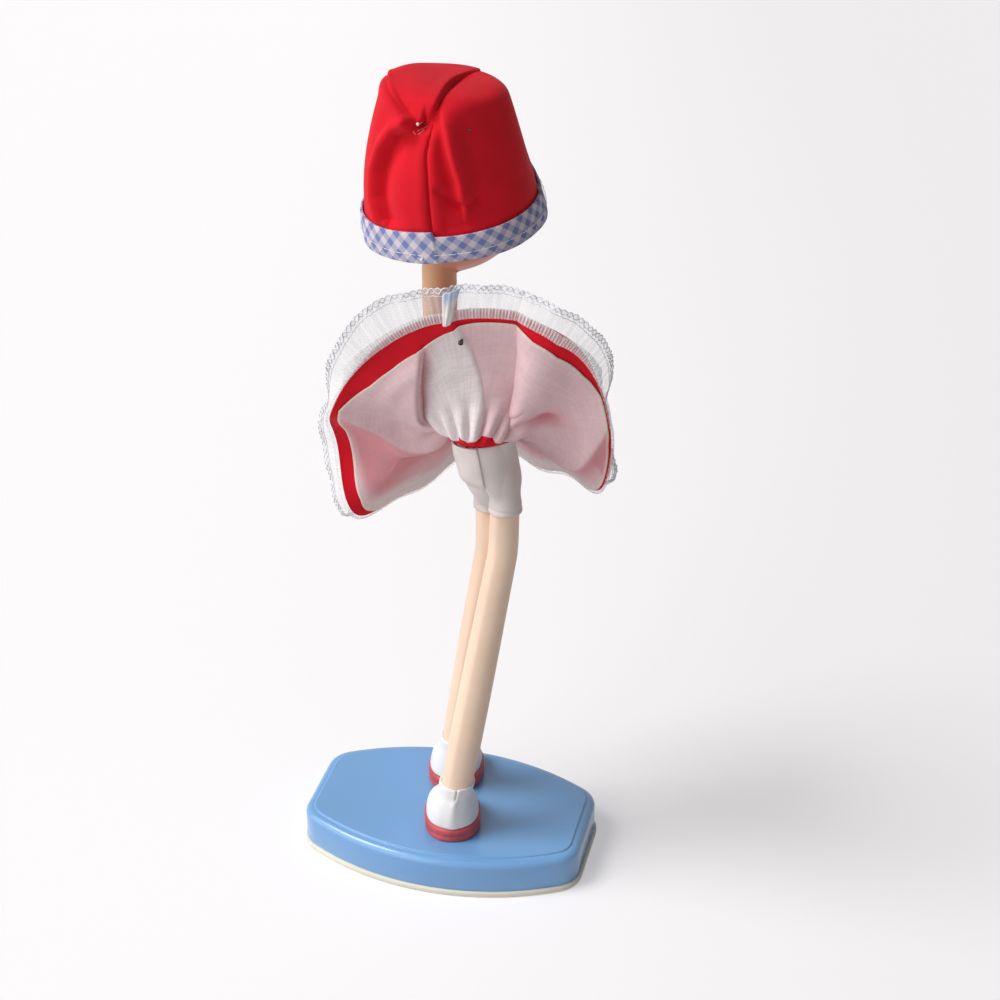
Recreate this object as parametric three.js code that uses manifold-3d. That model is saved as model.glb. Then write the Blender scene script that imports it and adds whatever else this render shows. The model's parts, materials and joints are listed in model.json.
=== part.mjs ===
// Vinyl pose doll on a painted stand: a slim standing figure in a red bag hat and a red dress
// whose skirt is turned up at the back. Millimetres, +Z up, the doll faces -Y and its left is +X.
// The origin is the middle of the stand's underside.
import * as THREE from 'three';
import { mergeVertices } from 'three/addons/utils/BufferGeometryUtils.js';
import Module from 'manifold-3d';

const wasm = await Module();
wasm.setup();

// Fits and cloth
const FIT = 0.35; // gap between pieces that seat in, on or around each other
const CLOTH = 0.8; // dress, bloomers and hat cloth
const LINING = 0.5; // organdy and lace
const LAYER_GAP = 0.65; // air between two layers of the skirt

// Stand
const BOARD_LENGTH = 122.5;
const BOARD_DEPTH = 79;
const BOARD_END_DEPTH = 42.6; // depth of the flat ends before their corners are rounded
const BOARD_CORNER = 12.6;
const BOARD_THICK = 15.5;
const EDGE_ROUND = 3; // round moulding along the top edge
const EDGE_STEP = 0.8; // small step above the moulding
const PLATE_THICK = 2.5;
const PLATE_PROUD = 1;
const PLATE_CHAMFER = 0.6;
const BOARD_TOP = PLATE_THICK + BOARD_THICK;

// Leg wires, and how far they are bent over under the board
const WIRE = 2.5;
const WIRE_FOOT = 14;
const WIRE_BEND = 5;
const WIRE_STEPS = 34;
const WIRE_SIDES = 6;

// Shoes
const SHOE_LENGTH = 29;
const SHOE_WIDTH = 24;
const SOLE_THICK = 6.5;
const SOLE_LIP = 0.8; // how far the upper sits in from the sole's edge
const ANKLE_BACK = 4.8; // ankle centre behind the middle of the shoe
const SHOE_HEIGHT = 25.5;
const COLLAR_SEAT = 3.5; // how far the leg goes down into the ankle collar
const COLLAR_WALL = 1.2;
const COLLAR_HEIGHT = 6;
const HEEL_SEAM = 0.7; // raised seam up the back of the shoe
const UPPER_TAPER = 1.6; // power of the upper's taper to the ankle

// Legs
const ANKLE_R = 5.9;
const CALF_R = 6.8;
const THIGH_R = 5.8;
const LEG_SIDES = 12;
const LEG_TUCK = 4; // how far the leg runs up into the body above the hip
const CALF_AT = 0.2; // share of the leg's length at its thickest

// How the figure stands: places above the board's top face
const RIGHT_LEG = {
  ankle: V(-5.8, 17.8, 12), knee: V(-26, 9, 138), hip: V(-26.8, 9.5, 162), end: V(-24, 8.5, 178),
  heading: THREE.MathUtils.degToRad(15), footSide: 1,
};
const LEFT_LEG = {
  ankle: V(2.4, -15, 12), knee: V(-18.2, -0.5, 133), hip: V(-18.4, 0.5, 158), end: V(-17.5, 3, 176),
  heading: THREE.MathUtils.degToRad(6), footSide: -1,
};

// Torso sections from the crotch to the collar: middle of the section, half width and half depth
const TORSO = [
  { middle: V(-21.4, 5, 159), wide: 7.5, deep: 7.5 },
  { middle: V(-19.9, 5.4, 169), wide: 10.8, deep: 10.6 },
  { middle: V(-16, 8, 189), wide: 10.2, deep: 8.6 },
  { middle: V(-8, 2, 202), wide: 10.2, deep: 8.6 },
  { middle: V(0, -4.2, 213), wide: 8.6, deep: 7.8 },
  { middle: V(3.2, -7, 228), wide: 6.8, deep: 6.8 },
];
const TORSO_SIDES = 16;
const WAIST = TORSO[2].middle;
const CROTCH_UP = TORSO[0].middle.z;
const COLLAR = TORSO[5].middle;

// Bloomers and bodice
const BLOOMERS_DROP = 2.8; // bloomers' top below the waist seam
const BODICE_TUCK = 2.4; // raw edge of the bodice below the waist seam
const BLOOMERS_LEG = 5.2; // length of the bloomers' legs below the hip
const BLOOMERS_LEG_EASE = 0.5; // slack of the bloomers' legs
const NECKLINE_DROP = 3; // bodice's neckline below the collar
const BODICE_EASE = 0.3; // slack of the bodice on the body

// Skirt hem as it stands: left, back and up from the waist, going from the back round the doll's left
const HEM = [
  V(-2, 14, 57.5), V(31, 14.3, 42.8), V(56.5, 6, 7), V(60, -3, -14.5), V(52.5, -4, -46.5), V(32, -36, -43),
  V(8, -53, -36), V(-20, -49, -38), V(-43, -24, -33), V(-51, -3, 4.5), V(-48, 3, 25.5), V(-36.5, 12.5, 52.8),
];
const SKIRT_ROUND = 52;
const SKIRT_ROWS = 7;
const LINING_ROWS = 6; // the lining stops a row short of the hem
const LACE_FROM = 0.945; // the lace is sewn inside the hem from here
const LACE_WIDTH = 11.6; // net past the hem
const LACE_WIDER = 4.5; // more net past the hem at the upper left
const LACE_WIDER_AT = 0.085;
const LACE_WIDER_HALF = 0.045;
const LACE_SHARES = [0, 0.14, 0.35, 1]; // rows of the net
const LACE_CURL = 3.5; // the net has curled by this far past the hem
// Where the net curls to the red side: share of the way round, half width as such a share, angle
const LACE_TURNS = [
  { at: 0.205, half: 0.045, angle: 1.2 }, { at: 0.3, half: 0.05, angle: 0.5 },
  { at: 0.4, half: 0.06, angle: 1.2 }, { at: 0.53, half: 0.06, angle: 0.7 },
  { at: 0.66, half: 0.06, angle: 0.8 }, { at: 0.77, half: 0.07, angle: 1.2 },
];
const SKIRT_PUFF = 4; // how far the cloth bellies out between the waist and the hem
const JOIN_AT = 0.02;
const JOIN_WIDTH = 4.6;
const JOIN_TO = 1.15;
// Main folds: share of the way round, half width as such a share, depth towards the red side
const FOLDS = [
  { at: 0.045, half: 0.02, depth: 3 }, { at: 0.115, half: 0.022, depth: -3.2 },
  { at: 0.2, half: 0.02, depth: -2 }, { at: 0.285, half: 0.03, depth: 4 },
  { at: 0.43, half: 0.025, depth: -3 }, { at: 0.5, half: 0.025, depth: 3 },
  { at: 0.57, half: 0.025, depth: -3 }, { at: 0.71, half: 0.025, depth: 3 },
  { at: 0.79, half: 0.02, depth: -2.5 }, { at: 0.86, half: 0.02, depth: 2.5 },
  { at: 0.945, half: 0.02, depth: -2.6 },
];

// Neck and head
const NECK_R = 6.6;
const NECK_LENGTH = 17.6;
const DOWEL = 6;
const DOWEL_IN_TORSO = 13;
const DOWEL_IN_HEAD = 18;
const HEAD_HALF = 28;
const HEAD_HEIGHT = 59;
const HEAD_MIDDLE = V(-4.8, -7, 0); // the head sits forward of the neck and over to its right
const FACE_TURN = THREE.MathUtils.degToRad(-20); // the face looks to the doll's right
const HEAD_SEAT_R = 7; // flat under the head that rests on the neck
const NOSE_R = 2.6;
const NOSE_UP = 15.5;
const FRINGE_THICK = 1.1;
const FRINGE_SPREAD = THREE.MathUtils.degToRad(50);
const JAW_TAPER = 1.4; // power of the head's lower half, above 1 for a narrow jaw
const CROWN_TAPER = 0.9; // power of its upper half, below 1 for a full crown
const FRINGE_LOW = 25;
const FRINGE_HIGH = 34;

// Hat
const HAT_EASE = 4.2; // rim radius beyond the head's half width
const HAT_RIM = V(-4.6, -7, 18.55); // middle of the rim from the top of the neck
const HAT_HEIGHT = 54.65; // from the rim's middle to the top edge
const HAT_TOP = V(-1.8, -3.5, HAT_RIM.z + HAT_HEIGHT);
const HAT_TOP_R = 21.8;
const HAT_TOP_ROLL = 0.06; // top's slope down to the doll's right
const HAT_DOME = 1.5;
const HAT_ROLL = 0.1; // rim's slope down to the doll's left
const HAT_TIP = 0.12; // rim's slope down to the back
const HAT_FRONT_LIFT = 9; // rim raised over the face
const HAT_BOW = 2; // how far the bag bows to the doll's left
const HAT_BELLY = 1.7; // power of the bag's taper, above 1 for a rounded side
const HAT_ROUND = 36;
const HAT_ROWS = 7;
const BAND_WIDTH = 10.5;
const BAND_THICK = 1.2;
// Creases of the crown: angle from the back towards the doll's left, half width, depth, and the
// lowest and highest share of the crown that they reach
const HAT_FOLDS = [
  { at: 0.06, half: 0.12, depth: -2.6, low: 0.35, high: 1 },
  { at: 0.42, half: 0.16, depth: -2.4, low: 0.1, high: 0.9 },
  { at: -0.22, half: 0.16, depth: 2, low: 0.1, high: 0.85 },
  { at: -0.5, half: 0.18, depth: -1.8, low: 0.2, high: 1 },
  { at: 0.8, half: 0.25, depth: 1.6, low: 0.2, high: 1 },
];

// Top of the bag folded down to the back: a flap that narrows to the tack pin
const FLAP = { at: 0.1, tip: 0.86, half: 0.85, rise: 1.6 };

// Pins
const PIN = 0.9;
const PIN_HEAD_R = 1;
const PIN_LENGTH = 7;
const PIN_STAND = 1.2; // pin heads stand this far off the hat's creases
const SIDE_PIN = { at: -0.66, up: 0.84 };
const BAND_PIN = { at: 0.05, up: 0.06 };
const SKIRT_PIN = { around: 0.014, down: 0.78 };

// Arms: the shoulder below the collar, then the elbow and hand from the shoulder of the left arm
const SHOULDER_DROP = 18;
const ARM_R = 3.5;
const WRIST_R = 2.5;
const HAND_R = 3.4;
const PEG = 4;
const PEG_IN_TORSO = 5;
const ELBOW = V(9, -12, -13);
const HAND = V(1, -35, -8);
const ARM_SIDES = 10;
const WRIST_AT = 0.82; // share of the arm's length
const FINGERS_AT = 0.93;
const HAND_FLAT = 0.75;

// Colours
const BLUE = 0x3f86c4;
const CREAM = 0xece8d8;
const PEACH = 0xf0d0a8;
const BEIGE = 0xe3bd8e;
const PINK = 0xf3bb9c;
const RED = 0xcf1128;
const SOLE_RED = 0xb5413f;
const WHITE = 0xf1edea;
const ORGANDY = 0xeadcd8;
const CLEAR = 0xf3f5f8;
const GINGHAM = 0x9fb8dc;
const BROWN = 0x5b3a28;
const STEEL = 0xa8a8a8;
const DARK = 0x4a4448;
const WOOD = 0xd8b98a;

function V(x, y, z) {
  return new THREE.Vector3(x, y, z);
}

const smooth = (x) => THREE.MathUtils.smoothstep(x, 0, 1);
const mix = THREE.MathUtils.lerp;

// Solids and booleans

function toSolid(geometry) {
  let merged = geometry.clone();
  merged.deleteAttribute('normal');
  merged.deleteAttribute('uv');
  merged = mergeVertices(merged, 1e-4);
  return new wasm.Manifold(new wasm.Mesh({
    numProp: 3,
    vertProperties: new Float32Array(merged.attributes.position.array),
    triVerts: new Uint32Array(merged.index.array),
  }));
}

function fromSolid(solid) {
  const mesh = solid.getMesh();
  const geometry = new THREE.BufferGeometry();
  geometry.setAttribute('position', new THREE.BufferAttribute(new Float32Array(mesh.vertProperties), 3));
  geometry.setIndex(new THREE.BufferAttribute(new Uint32Array(mesh.triVerts), 1));
  geometry.computeVertexNormals();
  return geometry;
}

function cut(geometry, ...tools) {
  return fromSolid(tools.reduce((solid, tool) => solid.subtract(toSolid(tool)), toSolid(geometry)));
}

function join(geometry, ...others) {
  return fromSolid(others.reduce((solid, other) => solid.add(toSolid(other)), toSolid(geometry)));
}

function moved(geometry, offset) {
  return geometry.clone().translate(offset.x, offset.y, offset.z);
}

// Skin over a list of closed rings with equal counts; wrap joins the last ring to the first,
// otherwise both ends are closed with a fan.
function skin(rings, wrap = false) {
  const count = rings[0].length;
  const points = rings.flat();
  const faces = [];
  const bands = wrap ? rings.length : rings.length - 1;
  for (let row = 0; row < bands; row++) {
    const here = row * count;
    const next = ((row + 1) % rings.length) * count;
    for (let i = 0; i < count; i++) {
      const j = (i + 1) % count;
      faces.push(here + i, here + j, next + j, here + i, next + j, next + i);
    }
  }
  if (!wrap) {
    const last = (rings.length - 1) * count;
    const first = points.push(middleOf(rings[0])) - 1;
    const end = points.push(middleOf(rings.at(-1))) - 1;
    for (let i = 0; i < count; i++) {
      const j = (i + 1) % count;
      faces.push(first, j, i, end, last + i, last + j);
    }
  }
  if (volumeOf(points, faces) < 0) {
    faces.reverse();
  }
  const geometry = new THREE.BufferGeometry().setFromPoints(points);
  geometry.setIndex(faces);
  geometry.computeVertexNormals();
  return geometry;
}

function middleOf(ring) {
  return ring.reduce((sum, point) => sum.add(point), V(0, 0, 0)).divideScalar(ring.length);
}

function volumeOf(points, faces) {
  let six = 0;
  for (let i = 0; i < faces.length; i += 3) {
    const [a, b, c] = [points[faces[i]], points[faces[i + 1]], points[faces[i + 2]]];
    six += a.dot(b.clone().cross(c));
  }
  return six;
}

function turnOf(count) {
  return Array.from({ length: count }, (_, i) => (2 * Math.PI * i) / count);
}

function steps(from, to, count) {
  return Array.from({ length: count + 1 }, (_, i) => mix(from, to, i / count));
}

// Stand

function arcPoints(cx, cy, radius, from, to, count) {
  return steps(from, to, count).map((a) => [cx + radius * Math.cos(a), cy + radius * Math.sin(a)]);
}

// Barrel outline at one height: bowed long sides, flat ends, rounded corners, moved in by inset.
function barrel(inset, z) {
  const sag = (BOARD_DEPTH - BOARD_END_DEPTH) / 2;
  const half = BOARD_LENGTH / 2;
  const sideR = (half * half + sag * sag) / (2 * sag);
  const sideY = BOARD_DEPTH / 2 - sideR;
  const cornerX = half - BOARD_CORNER;
  const cornerY = sideY + Math.sqrt((sideR - BOARD_CORNER) ** 2 - cornerX ** 2);
  const meet = Math.atan2(cornerY - sideY, cornerX);
  const upper = [
    ...arcPoints(cornerX, cornerY, BOARD_CORNER - inset, 0, meet, 3).slice(0, -1),
    ...arcPoints(0, sideY, sideR - inset, meet, Math.PI - meet, 10),
    ...arcPoints(-cornerX, cornerY, BOARD_CORNER - inset, Math.PI - meet, Math.PI, 3).slice(1),
  ];
  const lower = upper.map(([x, y]) => [-x, -y]);
  return [...upper, ...lower].map(([x, y]) => V(x, y, z));
}

function boardBody() {
  const shoulder = BOARD_TOP - EDGE_STEP;
  const moulding = steps(0, Math.PI / 2, 3).map((a) => barrel(
    EDGE_ROUND * (1 - Math.cos(a)), shoulder - EDGE_ROUND + EDGE_ROUND * Math.sin(a)));
  return skin([
    barrel(0, PLATE_THICK), ...moulding, barrel(EDGE_ROUND + EDGE_STEP, shoulder + EDGE_STEP / 4),
    barrel(EDGE_ROUND + EDGE_STEP * 1.3, BOARD_TOP),
  ]);
}

function plateBody() {
  const edge = -PLATE_PROUD;
  return skin([
    barrel(edge + PLATE_CHAMFER, 0), barrel(edge, PLATE_CHAMFER),
    barrel(edge, PLATE_THICK - PLATE_CHAMFER), barrel(edge + PLATE_CHAMFER, PLATE_THICK),
  ]);
}

// Leg wires: bent over under the board, up through sole, shoe and leg, and into the torso

function bentPath(points, corner) {
  const path = new THREE.CurvePath();
  let from = points[0];
  for (let i = 1; i < points.length - 1; i++) {
    const start = points[i].clone().add(points[i - 1].clone().sub(points[i]).setLength(corner));
    const end = points[i].clone().add(points[i + 1].clone().sub(points[i]).setLength(corner));
    path.add(new THREE.LineCurve3(from, start));
    path.add(new THREE.QuadraticBezierCurve3(start, points[i], end));
    from = end;
  }
  path.add(new THREE.LineCurve3(from, points.at(-1)));
  return path;
}

function wirePath(leg, beyond = 0) {
  const low = -BOARD_THICK + FIT + WIRE / 2;
  const { x, y } = leg.ankle;
  const tip = leg.end.clone().add(leg.end.clone().sub(leg.hip).setLength(beyond));
  return bentPath(
    [V(x + leg.footSide * WIRE_FOOT, y, low), V(x, y, low), leg.ankle, leg.knee, leg.hip, tip], WIRE_BEND);
}

function rod(path, diameter) {
  const round = new THREE.Shape(turnOf(WIRE_SIDES).map((a) => new THREE.Vector2(
    diameter / 2 * Math.cos(a), diameter / 2 * Math.sin(a))));
  return new THREE.ExtrudeGeometry(round, { steps: WIRE_STEPS, extrudePath: path, bevelEnabled: false });
}

function wireBore(leg) {
  return rod(wirePath(leg, FIT), WIRE + 2 * FIT);
}

// Slot in the underside of the board that takes the wire's bent foot.
function footSlot(leg) {
  const half = WIRE / 2 + FIT;
  const length = WIRE_FOOT + half;
  const slot = new THREE.BoxGeometry(length, 2 * half, WIRE + 2 * FIT + 2);
  return slot.translate(
    leg.ankle.x + leg.footSide * length / 2, leg.ankle.y, -BOARD_THICK + (WIRE + 2 * FIT) / 2 - 1);
}

// Legs

function pathAtHeight(path, height) {
  let [low, high] = [0, 1];
  for (let i = 0; i < 40; i++) {
    const mid = (low + high) / 2;
    if (path.getPointAt(mid).z < height) {
      low = mid;
    } else {
      high = mid;
    }
  }
  return low;
}

function ringAcross(point, along, wide, deep, count, facing) {
  const across = facing.clone().cross(along).normalize();
  const out = along.clone().cross(across).normalize();
  return turnOf(count).map((a) => point.clone()
    .addScaledVector(across, wide * Math.cos(a)).addScaledVector(out, deep * Math.sin(a)));
}

function legRadius(share) {
  return share < CALF_AT
    ? mix(ANKLE_R, CALF_R, smooth(share / CALF_AT))
    : mix(CALF_R, THIGH_R, smooth((share - CALF_AT) / (1 - CALF_AT)));
}

// Leg between two heights, grown by some thickness.
function legBody(leg, low, high, grow, rows) {
  const path = wirePath(leg);
  const foot = pathAtHeight(path, SHOE_HEIGHT - COLLAR_SEAT);
  const hip = pathAtHeight(path, leg.hip.z);
  const from = pathAtHeight(path, low);
  const to = pathAtHeight(path, high);
  return skin(steps(from, to, rows).map((u) => {
    const share = THREE.MathUtils.clamp((u - foot) / (hip - foot), 0, 1);
    const radius = legRadius(share) + grow;
    return ringAcross(path.getPointAt(u), path.getTangentAt(u), radius, radius, LEG_SIDES, V(0, 1, 0));
  }));
}

// Shoes, modelled with the toe towards -Y and the sole on the board

function shoeRing(length, width, back, z, seam = 0) {
  return turnOf(20).map((a) => {
    const toe = 1 + 0.06 * Math.max(0, -Math.sin(a));
    const square = (s) => Math.sign(s) * Math.abs(s) ** 0.86;
    const ridge = seam * Math.exp(-(((a - Math.PI / 2) / 0.2) ** 2));
    return V(width / 2 * toe * square(Math.cos(a)), back + (length / 2 + ridge) * square(Math.sin(a)), z);
  });
}

function soleBody() {
  const inner = 2 * SOLE_LIP;
  return skin([
    shoeRing(SHOE_LENGTH - inner, SHOE_WIDTH - inner, 0, 0),
    shoeRing(SHOE_LENGTH, SHOE_WIDTH, 0, SOLE_LIP),
    shoeRing(SHOE_LENGTH, SHOE_WIDTH, 0, SOLE_THICK - SOLE_LIP),
    shoeRing(SHOE_LENGTH - SOLE_LIP, SHOE_WIDTH - SOLE_LIP, 0, SOLE_THICK),
  ]);
}

function upperBody() {
  const low = SOLE_THICK;
  const collar = SHOE_HEIGHT - COLLAR_HEIGHT;
  const ankle = 2 * (ANKLE_R + FIT + COLLAR_WALL);
  const length = SHOE_LENGTH - 2 * SOLE_LIP;
  const width = SHOE_WIDTH - 2 * SOLE_LIP;
  const body = steps(0, 1, 5).map((share) => {
    const narrow = share ** UPPER_TAPER;
    return shoeRing(mix(length, ankle, narrow), mix(width, ankle, narrow), ANKLE_BACK * narrow,
      mix(low, collar, share), HEEL_SEAM);
  });
  return skin([...body, shoeRing(ankle, ankle, ANKLE_BACK, SHOE_HEIGHT, HEEL_SEAM)]);
}

// The shoe's frame, with its ankle over the wire.
function shoePlace(leg) {
  const turn = new THREE.Matrix4().makeRotationZ(leg.heading);
  const shift = V(0, -ANKLE_BACK, 0).applyMatrix4(turn);
  return turn.setPosition(leg.ankle.x + shift.x, leg.ankle.y + shift.y, 0);
}

// Torso, bloomers and bodice: level sections along the body's lean

const torsoMiddles = new THREE.CatmullRomCurve3(TORSO.map((s) => s.middle), false, 'catmullrom');
const torsoWidths = new THREE.CatmullRomCurve3(
  TORSO.map((s) => V(s.wide, s.deep, s.middle.z)), false, 'catmullrom');

function torsoRing(share, grow) {
  const middle = torsoMiddles.getPoint(share);
  const half = torsoWidths.getPoint(share);
  return turnOf(TORSO_SIDES).map((a) => V(
    middle.x + (half.x + grow) * Math.sin(a), middle.y + (half.y + grow) * Math.cos(a), middle.z));
}

function torsoShare(height) {
  let [low, high] = [0, 1];
  for (let i = 0; i < 40; i++) {
    const mid = (low + high) / 2;
    if (torsoMiddles.getPoint(mid).z < height) {
      low = mid;
    } else {
      high = mid;
    }
  }
  return low;
}

function torsoBody(grow, low, high, rows) {
  return skin(steps(torsoShare(low), torsoShare(high), rows).map((share) => torsoRing(share, grow)));
}

function torsoSleeve(inner, outer, low, high, rows) {
  const shares = steps(torsoShare(low), torsoShare(high), rows);
  return skin([
    ...shares.map((share) => torsoRing(share, outer)),
    ...shares.reverse().map((share) => torsoRing(share, inner)),
  ], true);
}

function bloomersBody() {
  const top = WAIST.z - BLOOMERS_DROP;
  const legs = [RIGHT_LEG, LEFT_LEG];
  const slack = FIT + BLOOMERS_LEG_EASE;
  const below = Math.min(...legs.map((leg) => leg.hip.z)) - BLOOMERS_LEG - 1;
  const outside = join(
    torsoBody(FIT + CLOTH, CROTCH_UP, top, 5),
    ...legs.map((leg) => legBody(leg, leg.hip.z - BLOOMERS_LEG, leg.hip.z + LEG_TUCK, slack + CLOTH, 4)));
  return cut(
    outside, torsoBody(FIT, CROTCH_UP, top + 1, 6),
    ...legs.map((leg) => legBody(leg, below, leg.hip.z + LEG_TUCK + 1, slack, 4)));
}

// Skirt: a ruled sheet from the waist ring to the hem, bellied and folded

const hemCurve = new THREE.CatmullRomCurve3(HEM.map((p) => p.clone().add(WAIST)), true, 'centripetal');

function waistPoint(around) {
  const a = 2 * Math.PI * around;
  const ease = FIT + BODICE_EASE + CLOTH + FIT + LINING + LAYER_GAP;
  const [wide, deep] = [TORSO[2].wide + ease, TORSO[2].deep + ease];
  return V(WAIST.x + wide * Math.sin(a), WAIST.y + deep * Math.cos(a), WAIST.z);
}

// Bump of height 1 at a share of the way round.
function bump(around, at, half) {
  const away = ((around - at + 1.5) % 1) - 0.5;
  return Math.exp(-((away / half) ** 2));
}

function foldDepth(around, down) {
  const grown = smooth(down / 0.35) * (1 - 0.35 * smooth((down - 0.6) / 0.4));
  return FOLDS.reduce((sum, fold) => sum + fold.depth * grown * bump(around, fold.at, fold.half), 0);
}

function ruledPoint(around, down) {
  return waistPoint(around).lerp(hemCurve.getPointAt(((around % 1) + 1) % 1), down);
}

function ruledNormal(around, down) {
  const d = 0.004;
  const round = ruledPoint(around + d, down).sub(ruledPoint(around - d, down));
  const outward = ruledPoint(around, down + d).sub(ruledPoint(around, down - d));
  return round.cross(outward).normalize();
}

function foldedPoint(around, down) {
  const belly = SKIRT_PUFF * Math.sin(Math.PI * Math.min(down, 1)) + foldDepth(around, Math.min(down, 1));
  return ruledPoint(around, down).addScaledVector(ruledNormal(around, Math.max(down, 0.3)), belly);
}

// Point of a layer that lies off to the red side of the middle of the skirt's cloth.
function layerPoint(around, down, off) {
  const d = 0.004;
  const round = foldedPoint(around + d, down).sub(foldedPoint(around - d, down));
  const outward = foldedPoint(around, down + d).sub(foldedPoint(around, down - d));
  return foldedPoint(around, down).addScaledVector(round.cross(outward).normalize(), off);
}

// Closed shell between the two faces of a sheet; pointAt takes the way round, the row and the face.
function sheetShell(rows, pointAt) {
  const ring = (row, side) => steps(0, 1, SKIRT_ROUND).slice(0, -1).map(
    (around) => pointAt(around, row, side));
  const back = rows.toReversed();
  return skin([...rows.map((row) => ring(row, 1)), ...back.map((row) => ring(row, -1))], true);
}

function skirtLayer(rows, off, thick) {
  return sheetShell(rows, (around, down, side) => layerPoint(around, down, off + side * thick / 2));
}

const liningOff = -(CLOTH / 2 + LAYER_GAP + LINING / 2);
const joinOff = liningOff - LINING - LAYER_GAP;

// Point of a face of the net at a share of its width past the hem. It goes on in the cloth's direction
// and curls to the red side at its turns.
function netPoint(around, share, side) {
  const past = share * (LACE_WIDTH + LACE_WIDER * bump(around, LACE_WIDER_AT, LACE_WIDER_HALF));
  const full = LACE_TURNS.reduce((sum, t) => sum + t.angle * bump(around, t.at, t.half), 0);
  const turn = full * smooth(past / LACE_CURL);
  const outward = ruledPoint(around, 1).sub(ruledPoint(around, 0.9)).normalize();
  const normal = ruledNormal(around, 1);
  const along = outward.clone().multiplyScalar(Math.cos(turn)).addScaledVector(normal, Math.sin(turn));
  const face = normal.clone().multiplyScalar(Math.cos(turn)).addScaledVector(outward, -Math.sin(turn));
  return layerPoint(around, 1, liningOff)
    .addScaledVector(along, past).addScaledVector(face, side * LINING / 2);
}

function hemLace() {
  return sheetShell([null, ...LACE_SHARES], (around, share, side) => (share === null
    ? layerPoint(around, LACE_FROM, liningOff + side * LINING / 2)
    : netPoint(around, share, side)));
}

// Strip across the lace at the centre back, where its two ends are lapped.
function laceJoin() {
  const half = JOIN_WIDTH / 2 / hemCurve.getLength();
  const across = steps(JOIN_AT - half, JOIN_AT + half, 2);
  return skin(steps(LACE_FROM, JOIN_TO, 4).map((down) => [
    ...across.map((around) => layerPoint(around, down, joinOff + LINING / 2)),
    ...across.toReversed().map((around) => layerPoint(around, down, joinOff - LINING / 2)),
  ]));
}

// Head, measured from the top of the neck

// Half width at a share of the head's height: fuller above the middle, drawn in towards the chin.
function headRadius(share) {
  const round = Math.sqrt(Math.max(0, 1 - (2 * share - 1) ** 2));
  return HEAD_HALF * round ** (share < 0.5 ? JAW_TAPER : CROWN_TAPER);
}

function headMiddle(share) {
  return HEAD_MIDDLE.clone().multiplyScalar(smooth(share / 0.05)).setZ(HEAD_HEIGHT * share);
}

function headRing(share) {
  const radius = Math.max(headRadius(share), share < 0.5 ? HEAD_SEAT_R : 0.5);
  const middle = headMiddle(share);
  return turnOf(24).map((a) => V(
    middle.x + radius * Math.sin(a), middle.y + radius * Math.cos(a), middle.z));
}

function headBody() {
  const ball = skin(steps(0, 1, 13).map((share) => headRing((1 - Math.cos(Math.PI * share)) / 2)));
  const nose = new THREE.SphereGeometry(NOSE_R, 10, 8);
  const tip = onHead(0, NOSE_UP, NOSE_R * 0.2);
  return join(ball, moved(nose, tip));
}

// Point on the head at an angle from the face towards the doll's left, pushed out by some thickness.
function onHead(angle, height, off) {
  const share = height / HEAD_HEIGHT;
  const radius = headRadius(share) + off;
  const turn = FACE_TURN + angle;
  return headMiddle(share).add(V(radius * Math.sin(turn), -radius * Math.cos(turn), 0));
}

function fringeBody() {
  const heights = steps(FRINGE_LOW, FRINGE_HIGH, 4);
  return skin(steps(-FRINGE_SPREAD, FRINGE_SPREAD, 12).map((a) => [
    ...heights.map((height) => onHead(a, height, FIT + FRINGE_THICK)),
    ...heights.toReversed().map((height) => onHead(a, height, FIT)),
  ]));
}

// Hat crown: a tapering bag from a tipped rim to a soft top, with its main creases above the band

const bandTop = BAND_WIDTH / (HAT_TOP.z - HAT_RIM.z);

function hatCrease(angle, up) {
  return HAT_FOLDS.reduce((sum, fold) => {
    const away = Math.atan2(Math.sin(angle - fold.at), Math.cos(angle - fold.at));
    const begun = smooth((up - Math.max(fold.low, bandTop)) / 0.2);
    const run = begun * (1 - 0.6 * smooth((up - fold.high) / 0.2));
    return sum + fold.depth * run * Math.exp(-((away / fold.half) ** 2));
  }, 0);
}

function hatFlap(angle, up) {
  const half = FLAP.half * Math.max(0, up - FLAP.tip) / (1 - FLAP.tip);
  const inside = half - Math.abs(Math.atan2(Math.sin(angle - FLAP.at), Math.cos(angle - FLAP.at)));
  return FLAP.rise * smooth(inside / 0.2);
}

function rimHeight(angle) {
  const rim = HEAD_HALF + HAT_EASE;
  const front = smooth((-Math.cos(angle) - 0.2) / 0.8);
  return -HAT_ROLL * rim * Math.sin(angle) - HAT_TIP * rim * Math.cos(angle) + HAT_FRONT_LIFT * front;
}

// Share 0 is the rim, 1 the top edge; off grows the bag outwards.
function hatPoint(angle, up, off) {
  const bag = mix(HEAD_HALF + HAT_EASE, HAT_TOP_R, up ** HAT_BELLY);
  const radius = bag + hatCrease(angle, up) + hatFlap(angle, up) + off;
  const middle = HAT_RIM.clone().lerp(HAT_TOP, up);
  middle.x += HAT_BOW * Math.sin(Math.PI * up);
  return V(middle.x + radius * Math.sin(angle), middle.y + radius * Math.cos(angle),
    middle.z + rimHeight(angle) * (1 - up) + HAT_TOP_ROLL * HAT_TOP_R * Math.sin(angle) * up);
}

function hatRing(up, off) {
  return turnOf(HAT_ROUND).map((angle) => hatPoint(angle, up, off));
}

function hatCap(off) {
  return [0.8, 0.45].map((share) => turnOf(HAT_ROUND).map((angle) => {
    const edge = hatPoint(angle, 1, off);
    const dome = (HAT_DOME + off) * Math.sqrt(1 - share * share);
    return V(mix(HAT_TOP.x, edge.x, share), mix(HAT_TOP.y, edge.y, share), edge.z + dome);
  }));
}

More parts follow.
